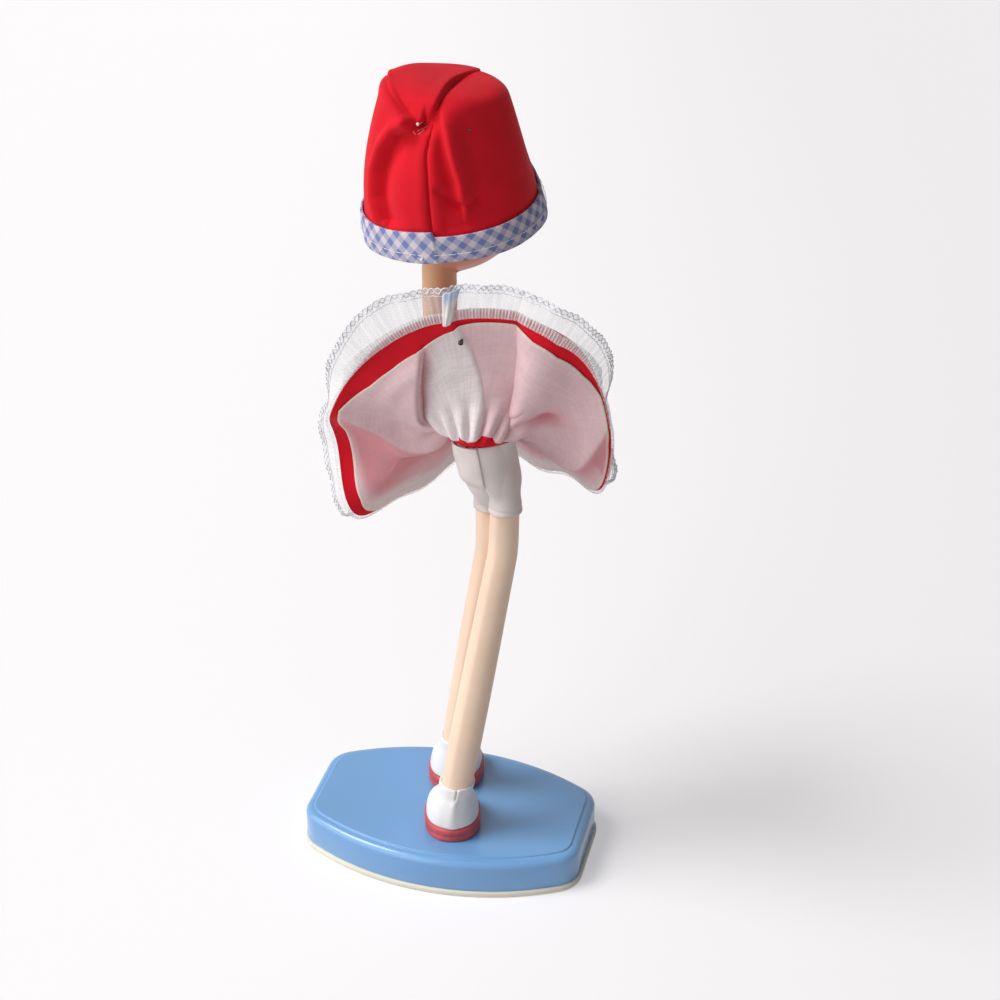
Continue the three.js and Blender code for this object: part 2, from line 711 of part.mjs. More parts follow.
function crownBody() {
  const rows = [0, ...steps(bandTop, 1, HAT_ROWS - 1)];
  const outside = [...rows.map((up) => hatRing(up, CLOTH)), ...hatCap(CLOTH)];
  const inside = [...rows.map((up) => hatRing(up, 0)), ...hatCap(0)];
  return skin([...inside.reverse(), ...outside]);
}

function bandBody() {
  const inner = CLOTH + FIT;
  const outer = inner + BAND_THICK;
  return skin([hatRing(0, outer), hatRing(bandTop, outer), hatRing(bandTop, inner), hatRing(0, inner)], true);
}

// Pins: a ball head on a shaft, point down, with the head's underside at the origin

function pinBody() {
  const shaft = PIN / 2;
  const ball = steps(-Math.PI / 2, Math.PI / 2, 5).map((a) => new THREE.Vector2(
    Math.max(PIN_HEAD_R * Math.cos(a), 0), PIN_HEAD_R + PIN_HEAD_R * Math.sin(a)));
  ball[0] = new THREE.Vector2(shaft, 0.1);
  const profile = [new THREE.Vector2(0, -PIN_LENGTH), new THREE.Vector2(shaft, -PIN_LENGTH + 2), ...ball];
  profile[profile.length - 1] = new THREE.Vector2(0, 2 * PIN_HEAD_R);
  return new THREE.LatheGeometry(profile, 8).rotateX(Math.PI / 2);
}

function pinBore(place) {
  return new THREE.CylinderGeometry(PIN / 2 + FIT, PIN / 2 + FIT, 3 * PIN_LENGTH, 8)
    .rotateX(Math.PI / 2).applyMatrix4(place);
}

// Frame at a point, with +Z along the outward direction.
function pinPlace(point, outward) {
  const turn = new THREE.Quaternion().setFromUnitVectors(V(0, 0, 1), outward.clone().normalize());
  return new THREE.Matrix4().compose(point, turn, V(1, 1, 1));
}

function hatPin(angle, up, off) {
  const outward = V(Math.sin(angle), Math.cos(angle), 0);
  return pinPlace(hatPoint(angle, up, off + PIN_STAND), outward);
}

// Arms, measured from the shoulder; side is 1 for the left arm and -1 for the right

function armBody(side) {
  const flip = (p) => V(side * p.x, p.y, p.z);
  const path = new THREE.CatmullRomCurve3([V(0, 0, 0), flip(ELBOW), flip(HAND)], false, 'centripetal');
  const radiusAt = (share) => {
    const limb = mix(ARM_R, WRIST_R, smooth(share / WRIST_AT));
    const hand = mix(WRIST_R, HAND_R, smooth((share - WRIST_AT) / (FINGERS_AT - WRIST_AT)));
    const past = Math.max(0, (share - FINGERS_AT) / (1 - FINGERS_AT));
    const tip = Math.sqrt(Math.max(0.03, 1 - past * past));
    return (share < WRIST_AT ? limb : hand) * tip;
  };
  const limb = skin(steps(0, 1, 13).map((share) => {
    const flat = share > WRIST_AT ? HAND_FLAT : 1;
    const radius = radiusAt(share);
    return ringAcross(
      path.getPointAt(share), path.getTangentAt(share), radius, flat * radius, ARM_SIDES, V(side, 0, 0));
  }));
  const ball = new THREE.SphereGeometry(ARM_R, ARM_SIDES, 8);
  return join(limb, ball, pegBody(side, PEG, PEG_IN_TORSO));
}

const shoulderUp = COLLAR.z - SHOULDER_DROP;

// Distance from the middle of the body to the arm's pivot: the arm's ball clears the leaning bodice.
function shoulderOut(side) {
  const middle = torsoMiddles.getPoint(torsoShare(shoulderUp));
  const reach = steps(shoulderUp - ARM_R, shoulderUp + ARM_R, 4).map((height) => {
    const share = torsoShare(height);
    return side * (torsoMiddles.getPoint(share).x - middle.x) + torsoWidths.getPoint(share).x;
  });
  return Math.max(...reach) + FIT + BODICE_EASE + CLOTH + FIT + ARM_R;
}

function pegBody(side, diameter, depth) {
  const half = torsoWidths.getPoint(torsoShare(shoulderUp)).x;
  const length = shoulderOut(side) - half + depth;
  return new THREE.CylinderGeometry(diameter / 2, diameter / 2, length, 12)
    .rotateZ(Math.PI / 2).translate(-side * length / 2, 0, 0);
}

function shoulder(side) {
  const middle = torsoMiddles.getPoint(torsoShare(shoulderUp));
  return V(middle.x + side * shoulderOut(side), middle.y, shoulderUp);
}

function pegBore(side) {
  return moved(pegBody(side, PEG + 2 * FIT, PEG_IN_TORSO + FIT), shoulder(side));
}

// Assembly

function piece(parent, name, geometry, color, roughness, metalness = 0) {
  const material = new THREE.MeshStandardMaterial({ color, roughness, metalness });
  const mesh = new THREE.Mesh(geometry, material);
  mesh.name = name;
  parent.add(mesh);
  return mesh;
}

const doll = new THREE.Group();
const sides = [['right', RIGHT_LEG, -1], ['left', LEFT_LEG, 1]];

const boardHoles = sides.flatMap(([, leg]) => [wireBore(leg), footSlot(leg)])
  .map((tool) => tool.translate(0, 0, BOARD_TOP));
piece(doll, 'base_plate', plateBody(), CREAM, 0.6);
piece(doll, 'base_board', cut(boardBody(), ...boardHoles), BLUE, 0.25);

const figure = new THREE.Group();
figure.position.z = BOARD_TOP;
doll.add(figure);

const dowelBottom = COLLAR.z - DOWEL_IN_TORSO;
const neckTop = COLLAR.z + FIT + NECK_LENGTH;
const dowelTop = neckTop + FIT + DOWEL_IN_HEAD;

function dowelBody(diameter, bottom, top) {
  return new THREE.CylinderGeometry(diameter / 2, diameter / 2, top - bottom, 16)
    .rotateX(Math.PI / 2).translate(COLLAR.x, COLLAR.y, (top + bottom) / 2);
}

const dowelBore = dowelBody(DOWEL + 2 * FIT, dowelBottom - FIT, dowelTop + FIT);
const torso = cut(
  torsoBody(0, CROTCH_UP, COLLAR.z, 11), dowelBore,
  ...sides.flatMap(([, leg, side]) => [wireBore(leg), pegBore(side)]));
piece(figure, 'torso', torso, WHITE, 0.9);

for (const [side, leg] of sides) {
  const place = shoePlace(leg);
  const toShoe = place.clone().invert();
  const bore = wireBore(leg);
  const boreInShoe = bore.clone().applyMatrix4(toShoe);
  const legLow = SHOE_HEIGHT - COLLAR_SEAT;
  const solid = cut(
    legBody(leg, legLow, leg.hip.z + LEG_TUCK, 0, 14), bore, torsoBody(FIT, CROTCH_UP, WAIST.z, 6));
  const socket = legBody(leg, legLow - FIT, legLow + 14, FIT, 2).applyMatrix4(toShoe);
  const shoe = new THREE.Group();
  shoe.applyMatrix4(place);
  figure.add(shoe);
  piece(figure, `${side}_leg_wire`, rod(wirePath(leg), WIRE), STEEL, 0.35, 1);
  piece(figure, `${side}_leg`, solid, PEACH, 0.55);
  piece(shoe, `${side}_sole`, cut(soleBody(), boreInShoe), SOLE_RED, 0.5);
  const upper = cut(upperBody(), boreInShoe, socket);
  piece(shoe, `${side}_shoe`, upper, WHITE, 0.55).position.z = FIT;
}

piece(figure, 'bloomers', bloomersBody(), WHITE, 0.9);
const bodiceIn = FIT + BODICE_EASE;
const bodice = torsoSleeve(bodiceIn, bodiceIn + CLOTH, WAIST.z - BODICE_TUCK, COLLAR.z - NECKLINE_DROP, 7);
piece(figure, 'bodice', cut(bodice, pegBore(-1), pegBore(1)), RED, 0.9);

const skirtRows = steps(0, 1, SKIRT_ROWS);
const liningFace = layerPoint(SKIRT_PIN.around, SKIRT_PIN.down, liningOff - LINING / 2 - FIT);
const skirtMiddle = layerPoint(SKIRT_PIN.around, SKIRT_PIN.down, 0);
const skirtPin = pinPlace(liningFace, liningFace.clone().sub(skirtMiddle));
const skirtPinBore = pinBore(skirtPin);
piece(figure, 'skirt', cut(skirtLayer(skirtRows, 0, CLOTH), skirtPinBore), RED, 0.9);
const lining = skirtLayer(skirtRows.slice(0, LINING_ROWS + 1), liningOff, LINING);
piece(figure, 'skirt_lining', cut(lining, skirtPinBore), ORGANDY, 0.9);
piece(figure, 'hem_lace', hemLace(), CLEAR, 0.4);
piece(figure, 'lace_join', laceJoin(), CLEAR, 0.4);
piece(figure, 'skirt_pin', pinBody(), DARK, 0.4, 1).applyMatrix4(skirtPin);

const neckBody = dowelBody(2 * NECK_R, COLLAR.z + FIT, neckTop);
piece(figure, 'neck', cut(neckBody, dowelBore), BEIGE, 0.6);
piece(figure, 'neck_dowel', dowelBody(DOWEL, dowelBottom, dowelTop), WOOD, 0.7);

// The head turns about the dowel, and carries the hair and the hat.
const headGroup = new THREE.Group();
headGroup.position.set(COLLAR.x, COLLAR.y, neckTop + FIT);
figure.add(headGroup);
const boreInHead = moved(dowelBore, headGroup.position.clone().negate());
const hatPins = [
  ['hat_tack_pin', hatPin(FLAP.at, FLAP.tip, CLOTH), WHITE],
  ['hat_side_pin', hatPin(SIDE_PIN.at, SIDE_PIN.up, CLOTH), DARK],
];
const bandPin = hatPin(BAND_PIN.at, BAND_PIN.up, CLOTH + FIT + BAND_THICK);
const hatBores = [...hatPins.map(([, place]) => pinBore(place)), pinBore(bandPin)];
piece(headGroup, 'head', cut(headBody(), boreInHead, ...hatBores), PINK, 0.45);
piece(headGroup, 'hair_fringe', fringeBody(), BROWN, 0.8);
piece(headGroup, 'hat_crown', cut(crownBody(), ...hatBores), RED, 0.9);
piece(headGroup, 'hat_band', cut(bandBody(), pinBore(bandPin)), GINGHAM, 0.9);
for (const [name, place, color] of [...hatPins, ['hat_band_pin', bandPin, WHITE]]) {
  piece(headGroup, name, pinBody(), color, 0.4).applyMatrix4(place);
}

for (const [name, , side] of sides) {
  const arm = new THREE.Group();
  arm.position.copy(shoulder(side));
  figure.add(arm);
  piece(arm, `${name}_arm`, armBody(side), PEACH, 0.5);
}

export default doll;
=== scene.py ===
"""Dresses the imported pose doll: fine surfaces, cloth, lace, paint and a small studio."""
import json
import math

import bmesh
import bpy
import numpy as np
from mathutils import Matrix, Vector


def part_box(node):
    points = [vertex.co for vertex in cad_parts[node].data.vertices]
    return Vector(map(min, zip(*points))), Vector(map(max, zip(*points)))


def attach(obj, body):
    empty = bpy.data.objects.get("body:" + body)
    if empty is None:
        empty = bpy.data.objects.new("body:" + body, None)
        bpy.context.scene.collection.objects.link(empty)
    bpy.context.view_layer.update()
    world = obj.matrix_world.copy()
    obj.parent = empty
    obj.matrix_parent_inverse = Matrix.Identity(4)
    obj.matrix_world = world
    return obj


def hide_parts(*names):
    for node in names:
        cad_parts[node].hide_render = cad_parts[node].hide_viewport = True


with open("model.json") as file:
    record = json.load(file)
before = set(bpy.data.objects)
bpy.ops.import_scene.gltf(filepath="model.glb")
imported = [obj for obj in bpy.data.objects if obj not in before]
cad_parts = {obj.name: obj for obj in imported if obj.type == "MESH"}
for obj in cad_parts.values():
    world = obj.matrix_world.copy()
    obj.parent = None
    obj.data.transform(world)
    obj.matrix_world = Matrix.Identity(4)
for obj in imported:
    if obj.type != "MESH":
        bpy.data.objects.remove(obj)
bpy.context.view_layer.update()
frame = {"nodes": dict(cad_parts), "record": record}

bl_info = {
    "name": "Pose doll dressing",
    "version": (1, 0, 0),
    "blender": (4, 5, 0),
    "location": "View3D > Sidebar > Doll",
    "description": "Builds the fine surfaces, cloth and paint of a standing pose doll",
    "category": "Object",
}

MM = 0.001
TURN = 2 * math.pi

# Sizes shared with the solid model, in millimetres
FIT, CLOTH, LINING, LAYER_GAP = 0.35, 0.8, 0.5, 0.65
BOARD_LENGTH, BOARD_DEPTH, BOARD_END_DEPTH, BOARD_CORNER = 122.5, 79.0, 42.6, 12.6
PLATE_THICK, PLATE_PROUD, BOARD_THICK, EDGE_ROUND, EDGE_STEP = 2.5, 1.0, 15.5, 3.0, 0.8
BOARD_TOP = PLATE_THICK + BOARD_THICK
SHOE_LENGTH, SHOE_WIDTH, SOLE_THICK, SOLE_LIP, SHOE_HEIGHT = 29.0, 24.0, 6.5, 0.8, 25.5
ANKLE_BACK, COLLAR_SEAT, COLLAR_WALL, COLLAR_HEIGHT, HEEL_SEAM, UPPER_TAPER = 4.8, 3.5, 0.6, 6.0, 0.7, 1.6
ANKLE_R, CALF_R, THIGH_R, CALF_AT, LEG_TUCK, LEG_BEND = 6.5, 6.8, 5.8, 0.2, 4.0, 5.0
LEGS = {
    "right": {"ankle": (-5.8, 17.8, 12), "knee": (-26, 9, 138), "hip": (-26.8, 9.5, 162),
              "end": (-24, 8.5, 178), "heading": math.radians(15), "side": -1},
    "left": {"ankle": (2.4, -15, 12), "knee": (-18.2, -0.5, 133), "hip": (-18.4, 0.5, 158),
             "end": (-17.5, 3, 176), "heading": math.radians(6), "side": 1},
}
# Torso sections: middle, half width and half depth, from the crotch to the collar
TORSO = np.array([
    (-21.4, 5, 159, 7.5, 7.5), (-19.9, 5.4, 169, 10.8, 10.6), (-16, 8, 189, 10.2, 8.6),
    (-8, 2, 202, 10.2, 8.6), (0, -4.2, 213, 8.6, 7.8), (3.2, -7, 228, 6.8, 6.8),
])
LIFT = np.array([0, 0, BOARD_TOP])
WAIST = TORSO[2, :3]
COLLAR = TORSO[5, :3]
BLOOMERS_DROP, BLOOMERS_LEG, BLOOMERS_EASE = 2.8, 5.2, 0.4
WAIST_TILT, WAIST_SLOPE = 0.8, 0.14
BODICE_TUCK, BODICE_EASE, NECKLINE_DROP = 2.4, 0.3, 3.0
# Skirt hem from the waist: left, back and up, from the back round the doll's left
HEM = np.array([
    (-2, 14, 57.5), (31, 14.3, 42.8), (56.5, 6, 7), (60, -3, -14.5), (52.5, -4, -46.5), (32, -36, -43),
    (8, -53, -36), (-20, -49, -38), (-43, -24, -33), (-51, -3, 4.5), (-48, 3, 25.5), (-36.5, 12.5, 52.8),
])
SKIRT_PUFF = 4.0
NECK_R, NECK_LENGTH, NECK_TUCK = 6.6, 17.6, 8.0
HEAD_HALF, HEAD_HEIGHT, HEAD_MIDDLE, HEAD_SEAT_R = 28.0, 59.0, np.array([-4.8, -7, 0]), 5.6
JAW_TAPER = 1.4
FACE_TURN = math.radians(-20)
NOSE_UP, EYE_OUT, BROW_OUT = 15.5, 9.3, 9.6
HEAD_AT = COLLAR + LIFT + np.array([0, 0, 2 * FIT + NECK_LENGTH])
HAT_RIM, HAT_TOP = np.array([-4.6, -7, 18.55]), np.array([-1.8, -3.5, 73.2])
HAT_RIM_R, HAT_TOP_R, HAT_TOP_ROLL, HAT_DOME = HEAD_HALF + 4.2, 21.8, 0.06, 1.5
HAT_ROLL, HAT_TIP, HAT_FRONT_LIFT, HAT_BOW, HAT_BELLY = 0.1, 0.12, 9.0, 2.0, 1.7
BAND_WIDTH, BAND_THICK = 10.5, 1.2
BAND_TOP = BAND_WIDTH / (HAT_TOP[2] - HAT_RIM[2])
ARM_R, WRIST_R, HAND_R = 3.5, 2.5, 3.4
ELBOW, HAND = np.array([9, -12, -13]), np.array([1, -35, -8])
WRIST_AT, FINGERS_AT, HAND_FLAT = 0.82, 0.93, 0.75
PIN_R, PIN_HEAD_R, PIN_LENGTH = 0.45, 1.0, 7.0
# Thickness of the cloth as it shows, and spacing of the threads of the net and the lining
SHOWN_CLOTH, SHOWN_LINING, SHOWN_TAB = CLOTH * 0.8, 0.3, 0.35
NET_PITCH, ORGANDY_PITCH = 0.9, 0.75
# Radii of the lace's cords, the band's stitches and the tack's threads
LOOP_R, INNER_CORD_R, STITCH_R, TACK_R = 0.25, 0.16, 0.14, 0.045
# Rows and columns of the larger surfaces
SKIRT_ROWS, SKIRT_COLUMNS = 64, 720
NET_ROWS, NET_COLUMNS = 12, 900
HAT_ROWS, HAT_TOP_ROWS, HAT_COLUMNS = 110, 40, 330
BAND_ROWS, BAND_COLUMNS = 64, 420
HEAD_ROWS, HEAD_COLUMNS = 150, 220
# Flat sizes of the cut cloth in metres; flared cloth takes up a share of its rectangle
BODICE_FLAT, BLOOMERS_FLAT = (0.066, 0.05), (0.055, 0.031)
SKIRT_LENGTH, LINING_LENGTH, FLARE = 0.062, 0.056, 0.62
LACE_FULLNESS, HEADING_STRIP = 1.08, 0.004
HAT_FLAT, HAT_AREA, BAND_LENGTH = (0.20, 0.078), 0.0125, 0.22


# Curves and small functions

def smooth(x):
    """Cubic step from 0 to 1."""
    x = np.clip(x, 0, 1)
    return x * x * (3 - 2 * x)


def mix(a, b, t):
    return a + (b - a) * t


def bell(x, half):
    """Gaussian bump of height 1."""
    return np.exp(-(x / half) ** 2)


def away(around, at):
    """Signed share of a turn from at to around, between -0.5 and 0.5."""
    return np.mod(around - at + 0.5, 1) - 0.5


def wrapped(angle):
    """Angle between minus half a turn and half a turn."""
    return np.mod(angle + math.pi, TURN) - math.pi


def grid(rows, columns):
    """Two arrays of the same shape: rows change down the first axis and columns along the second."""
    return np.meshgrid(rows, columns, indexing="ij")


def level_out(angle):
    """Level direction at an angle from the back towards the doll's left."""
    return np.stack([np.sin(angle), np.cos(angle), np.zeros_like(angle)], -1)


def unit(v):
    return v / np.maximum(np.linalg.norm(v, axis=-1, keepdims=True), 1e-12)


def catmull(points, t, closed=False, power=0.25):
    """Catmull-Rom curve through points at shares t; power 0.25 is centripetal and 0 uniform."""
    p = np.asarray(points, float)
    ends = (p[-1:], p[:2]) if closed else (2 * p[:1] - p[1:2], 2 * p[-1:] - p[-2:-1])
    p = np.vstack([ends[0], p, ends[1]])
    spans = len(points) if closed else len(points) - 1
    s = np.asarray(t, float) * spans
    i = np.clip(np.floor(s).astype(int), 0, spans - 1)
    w = (s - i)[..., None]
    a, b, c, d = (p[i + k] for k in range(4))

    def gap(u, v):
        return np.maximum(np.linalg.norm(v - u, axis=-1, keepdims=True), 1e-9) ** (2 * power)

    g0, g1, g2 = gap(a, b), gap(b, c), gap(c, d)
    m1 = g1 * ((b - a) / g0 - (c - a) / (g0 + g1) + (c - b) / g1)
    m2 = g1 * ((c - b) / g1 - (d - b) / (g1 + g2) + (d - c) / g2)
    return ((2 * w**3 - 3 * w**2 + 1) * b + (w**3 - 2 * w**2 + w) * m1
            + (3 * w**2 - 2 * w**3) * c + (w**3 - w**2) * m2)


def line_gap(x, y, line):
    """Distance from points to a polyline, signed by the side: positive to the left of its direction."""
    best = np.full(np.broadcast(x, y).shape, np.inf)
    signed = np.zeros_like(best)
    for (ax, ay), (bx, by) in zip(line[:-1], line[1:]):
        dx, dy = bx - ax, by - ay
        t = np.clip(((x - ax) * dx + (y - ay) * dy) / (dx * dx + dy * dy), 0, 1)
        gap = np.hypot(x - ax - t * dx, y - ay - t * dy)
        side = np.sign(dx * (y - ay) - dy * (x - ax))
        signed = np.where(gap < best, gap * side, signed)
        best = np.minimum(gap, best)
    return signed


def normals(surface, u, v, step=0.004):
    """Unit normals of a surface of two parameters, by central differences."""
    along_u = surface(u + step, v) - surface(u - step, v)
    along_v = surface(u, v + step) - surface(u, v - step)
    return unit(np.cross(along_u, along_v))


def sweep(path, radius, sides, closed=False, reference=(0, 0, 1), flat=1.0):
    """Tube: a circle of the given radius, set across the path's direction at each of its points."""
    if closed:
        tangent = unit(np.roll(path, -1, 0) - np.roll(path, 1, 0))
    else:
        tangent = unit(np.gradient(path, axis=0))
    side = unit(np.cross(np.asarray(reference, float), tangent))
    up = np.cross(tangent, side)
    a = np.linspace(0, TURN, sides, endpoint=False)[None, :, None]
    radius = np.broadcast_to(np.asarray(radius, float), (len(path),))[:, None, None]
    flat = np.broadcast_to(np.asarray(flat, float), (len(path),))[:, None, None]
    return path[:, None] + radius * (np.cos(a) * side[:, None] + flat * np.sin(a) * up[:, None])


# Meshes

BOTH_ENDS, FIRST_END, LAST_END = (0, -1), (0,), (-1,)


def patch(points, wrap_rows=False, wrap_cols=False, caps=(), flat=(1.0, 1.0), shares=None, rows_at=None):
    """A grid of points in millimetres, how its edges join, its flat size in metres and its painted shares."""
    points = np.asarray(points, float)
    if rows_at is None:
        rows_at = np.linspace(0, flat[1], len(points) + wrap_rows)
    return {"points": points, "wrap_rows": wrap_rows, "wrap_cols": wrap_cols, "caps": caps, "width": flat[0],
            "rows_at": rows_at, "shares": shares or {}}


def capped(points):
    """Rings of points as a closed tube with both ends capped."""
    return patch(points, wrap_cols=True, caps=BOTH_ENDS)


def grid_quads(rows, cols, wrap_rows, wrap_cols):
    """Corner indices of the quads of a grid, and the same corners as row and column numbers."""
    r, c = grid(np.arange(rows if wrap_rows else rows - 1), np.arange(cols if wrap_cols else cols - 1))
    corner_r = np.stack([r, r, r + 1, r + 1], -1).reshape(-1, 4)
    corner_c = np.stack([c, c + 1, c + 1, c], -1).reshape(-1, 4)
    return (corner_r % rows) * cols + corner_c % cols, corner_r, corner_c


def add_piece(name, patches, material, body, closed=False, thick=0.0):
    """One object from patches, at the origin, riding on a body. Closed patches get outward faces."""
    verts, faces, uvs, shares = [], [], [], {}
    start = 0
    for p in patches:
        rows, cols = p["points"].shape[:2]
        quads, corner_r, corner_c = grid_quads(rows, cols, p["wrap_rows"], p["wrap_cols"])
        u = corner_c / (cols if p["wrap_cols"] else cols - 1) * p["width"]
        v = p["rows_at"][corner_r]
        verts.append(p["points"].reshape(-1, 3))
        faces += (quads + start).tolist()
        uvs.append(np.stack([u, v], -1).reshape(-1, 2))
        count = rows * cols
        for row in p["caps"]:
            ring = start + (row % rows) * cols + np.arange(cols)
            verts.append(p["points"][row].mean(0, keepdims=True))
            fan = np.stack([np.full(cols, start + count), np.roll(ring, -1), ring], 1)
            faces += fan[:, ::1 if row == 0 else -1].tolist()
            uvs.append(np.zeros((3 * cols, 2)))
            count += 1
        for key in set(shares) | set(p["shares"]):
            kept = shares.setdefault(key, np.zeros(start))
            here = np.zeros(count)
            if key in p["shares"]:
                here[:rows * cols] = np.broadcast_to(p["shares"][key], (rows, cols)).ravel()
            shares[key] = np.concatenate([kept, here])
        start += count
    mesh = bpy.data.meshes.new(name)
    mesh.from_pydata((np.concatenate(verts) * MM).tolist(), [], faces)
    layer = mesh.uv_layers.new(name="flat")
    layer.data.foreach_set("uv", np.concatenate(uvs).ravel().astype(np.float32))
    for key, values in shares.items():
        attribute = mesh.attributes.new(key, "FLOAT", "POINT")
        attribute.data.foreach_set("value", values.astype(np.float32))
    mesh.polygons.foreach_set("use_smooth", np.ones(len(mesh.polygons), bool))
    if closed:
        work = bmesh.new()
        work.from_mesh(mesh)
        bmesh.ops.recalc_face_normals(work, faces=work.faces)
        work.to_mesh(mesh)
        work.free()
    mesh.materials.append(material)
    piece = bpy.data.objects.new(name, mesh)
    bpy.context.scene.collection.objects.link(piece)
    if thick:
        wall = piece.modifiers.new("wall", "SOLIDIFY")
        wall.thickness = thick * MM
        wall.offset = 0
    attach(piece, body)
    return piece


# Materials

class Wire:
    """A shader socket whose arithmetic adds Math nodes."""

    def __init__(self, paint, socket):
        self.paint = paint
        self.socket = socket

    def math(self, operation, *values):
        inputs = dict(enumerate(values))
        return self.paint.add("ShaderNodeMath", {"operation": operation}, inputs)

    def __add__(self, other):
        return self.math("ADD", self, other)

    def __sub__(self, other):
        return self.math("SUBTRACT", self, other)

    def __mul__(self, other):
        return self.math("MULTIPLY", self, other)

    def sine(self):
        return self.math("SINE", self)

    def ramp(self, low, high):
        """Smooth step from 0 at low to 1 at high."""
        settings = {"interpolation_type": "SMOOTHSTEP"}
        inputs = {"Value": self, "From Min": low, "From Max": high}
        return self.paint.add("ShaderNodeMapRange", settings, inputs)


class Paint:
    """A material whose Principled shader takes constants by name and painted inputs from nodes."""

    def __init__(self, name, **constants):
        self.material = bpy.data.materials.new(name)
        self.material.use_nodes = True
        self.tree = self.material.node_tree
        self.tree.nodes.clear()
        self.shader = self.tree.nodes.new("ShaderNodeBsdfPrincipled")
        output = self.tree.nodes.new("ShaderNodeOutputMaterial")
        self.tree.links.new(self.shader.outputs[0], output.inputs["Surface"])
        self.set(**constants)

    def set(self, **values):
        """Sets or links Principled inputs; an underscore stands for a space."""
        for key, value in values.items():
            self.feed(self.shader.inputs[key.replace("_", " ")], value)

    def feed(self, socket, value):
        if isinstance(value, Wire):
            self.tree.links.new(value.socket, socket)
        elif hasattr(value, "__len__") and len(value) == 3 and socket.type == "RGBA":
            socket.default_value = (*value, 1)
        else:
            socket.default_value = value

    def add(self, kind, settings=None, inputs=None, output=0):
        node = self.tree.nodes.new(kind)
        for key, value in (settings or {}).items():
            setattr(node, key, value)
        for key, value in (inputs or {}).items():
            self.feed(node.inputs[key], value)
        return Wire(self, node.outputs[output])

    def place(self, kind="Object"):
        return self.add("ShaderNodeTexCoord", output=kind)

    def split(self, vector):
        node = self.tree.nodes.new("ShaderNodeSeparateXYZ")
        self.feed(node.inputs[0], vector)
        return [Wire(self, out) for out in node.outputs]

    def share(self, name):
        return self.add("ShaderNodeAttribute", {"attribute_name": name}, output="Fac")

    def noise(self, scale, detail=3.0, place=None):
        inputs = {"Vector": place or self.place(), "Scale": scale, "Detail": detail}
        return self.add("ShaderNodeTexNoise", None, inputs)

    def blend(self, factor, first, second):
        """Colour that goes from first to second."""
        inputs = {0: factor, 6: first, 7: second}
        return self.add("ShaderNodeMix", {"data_type": "RGBA"}, inputs, output=2)

    def bump(self, height, strength, depth_mm):
        inputs = {"Height": height, "Strength": strength, "Distance": depth_mm * MM}
        return self.add("ShaderNodeBump", None, inputs)


def paint_node(name, material):
    """Gives its material to a solid that is shown as it is."""
    materials = frame["nodes"][name].data.materials
    materials.clear()
    materials.append(material)


def linear(color):
    """Display colour to linear, as a plain tuple."""
    return tuple(c / 12.92 if c <= 0.04045 else ((c + 0.055) / 1.055) ** 2.4 for c in tuple(color)[:3])


def shade(color, factor):
    """Linear colour, lightened or darkened."""
    return tuple(min(1.0, c * factor) for c in linear(color))


def weave(paint, pitch_mm):
    """Plain weave on the flat cloth: two sets of threads that cross, as a height from 0 to 1."""
    u, v, _ = paint.split(paint.place("UV"))
    count = TURN / (pitch_mm * MM)
    return ((u * count).sine() * (v * count).sine()) * 0.5 + 0.5


def cloth_paint(name, color, pitch_mm, depth_mm=0.08, patchy=0.06):
    """Plain cotton: weave, a little unevenness, dull finish."""
    paint = Paint(name, Roughness=0.85, Specular_IOR_Level=0.2, Sheen_Weight=0.08, Sheen_Roughness=0.4)
    threads = weave(paint, pitch_mm)
    worn = paint.noise(90.0).ramp(0.3, 0.75)
    tone = paint.blend(worn, shade(color, 1 - patchy), shade(color, 1 + patchy))
    paint.set(Base_Color=paint.blend(threads * 0.25, tone, shade(color, 0.72)))
    slubs = paint.noise(700.0, 2.0)
    paint.set(Normal=paint.bump(threads * 0.7 + slubs * 0.6, 0.5, depth_mm))
    return paint.material


def vinyl_paint(name, color, rough, patchy=0.03, blush=None):
    """Moulded vinyl: soft gloss, faint mottling, and a blush where one is painted."""
    paint = Paint(name, Specular_IOR_Level=0.45)
    mottle = paint.noise(45.0).ramp(0.3, 0.7)
    tone = paint.blend(mottle, shade(color, 1 - patchy), shade(color, 1 + patchy))
    if blush:
        tone = paint.blend(paint.share("blush"), tone, linear(blush))
    grain = paint.noise(900.0, 2.0)
    paint.set(Base_Color=tone, Roughness=grain * 0.12 + (rough - 0.06))
    paint.set(Normal=paint.bump(grain, 0.25, 0.05))
    return paint.material


def gloss_paint(name, color, rough, peel=0.04):
    """Brushed gloss paint: slight orange peel under a clear coat."""
    paint = Paint(name, Coat_Weight=0.35, Coat_Roughness=0.12, Specular_IOR_Level=0.5)
    fade = paint.noise(14.0).ramp(0.25, 0.8)
    paint.set(Base_Color=paint.blend(fade, shade(color, 0.95), shade(color, 1.05)))
    smear = paint.noise(160.0, 2.0)
    paint.set(Roughness=smear * 0.1 + (rough - 0.05))
    paint.set(Normal=paint.bump(smear, 0.2, peel))
    return paint.material


def metal_paint(name, color, rough):
    """Drawn metal with fine scratches."""
    paint = Paint(name, Metallic=1.0)
    scratch = paint.noise(1200.0, 2.0)
    paint.set(Base_Color=paint.blend(scratch, shade(color, 0.9), shade(color, 1.05)))
    paint.set(Roughness=scratch * 0.2 + rough)
    return paint.material


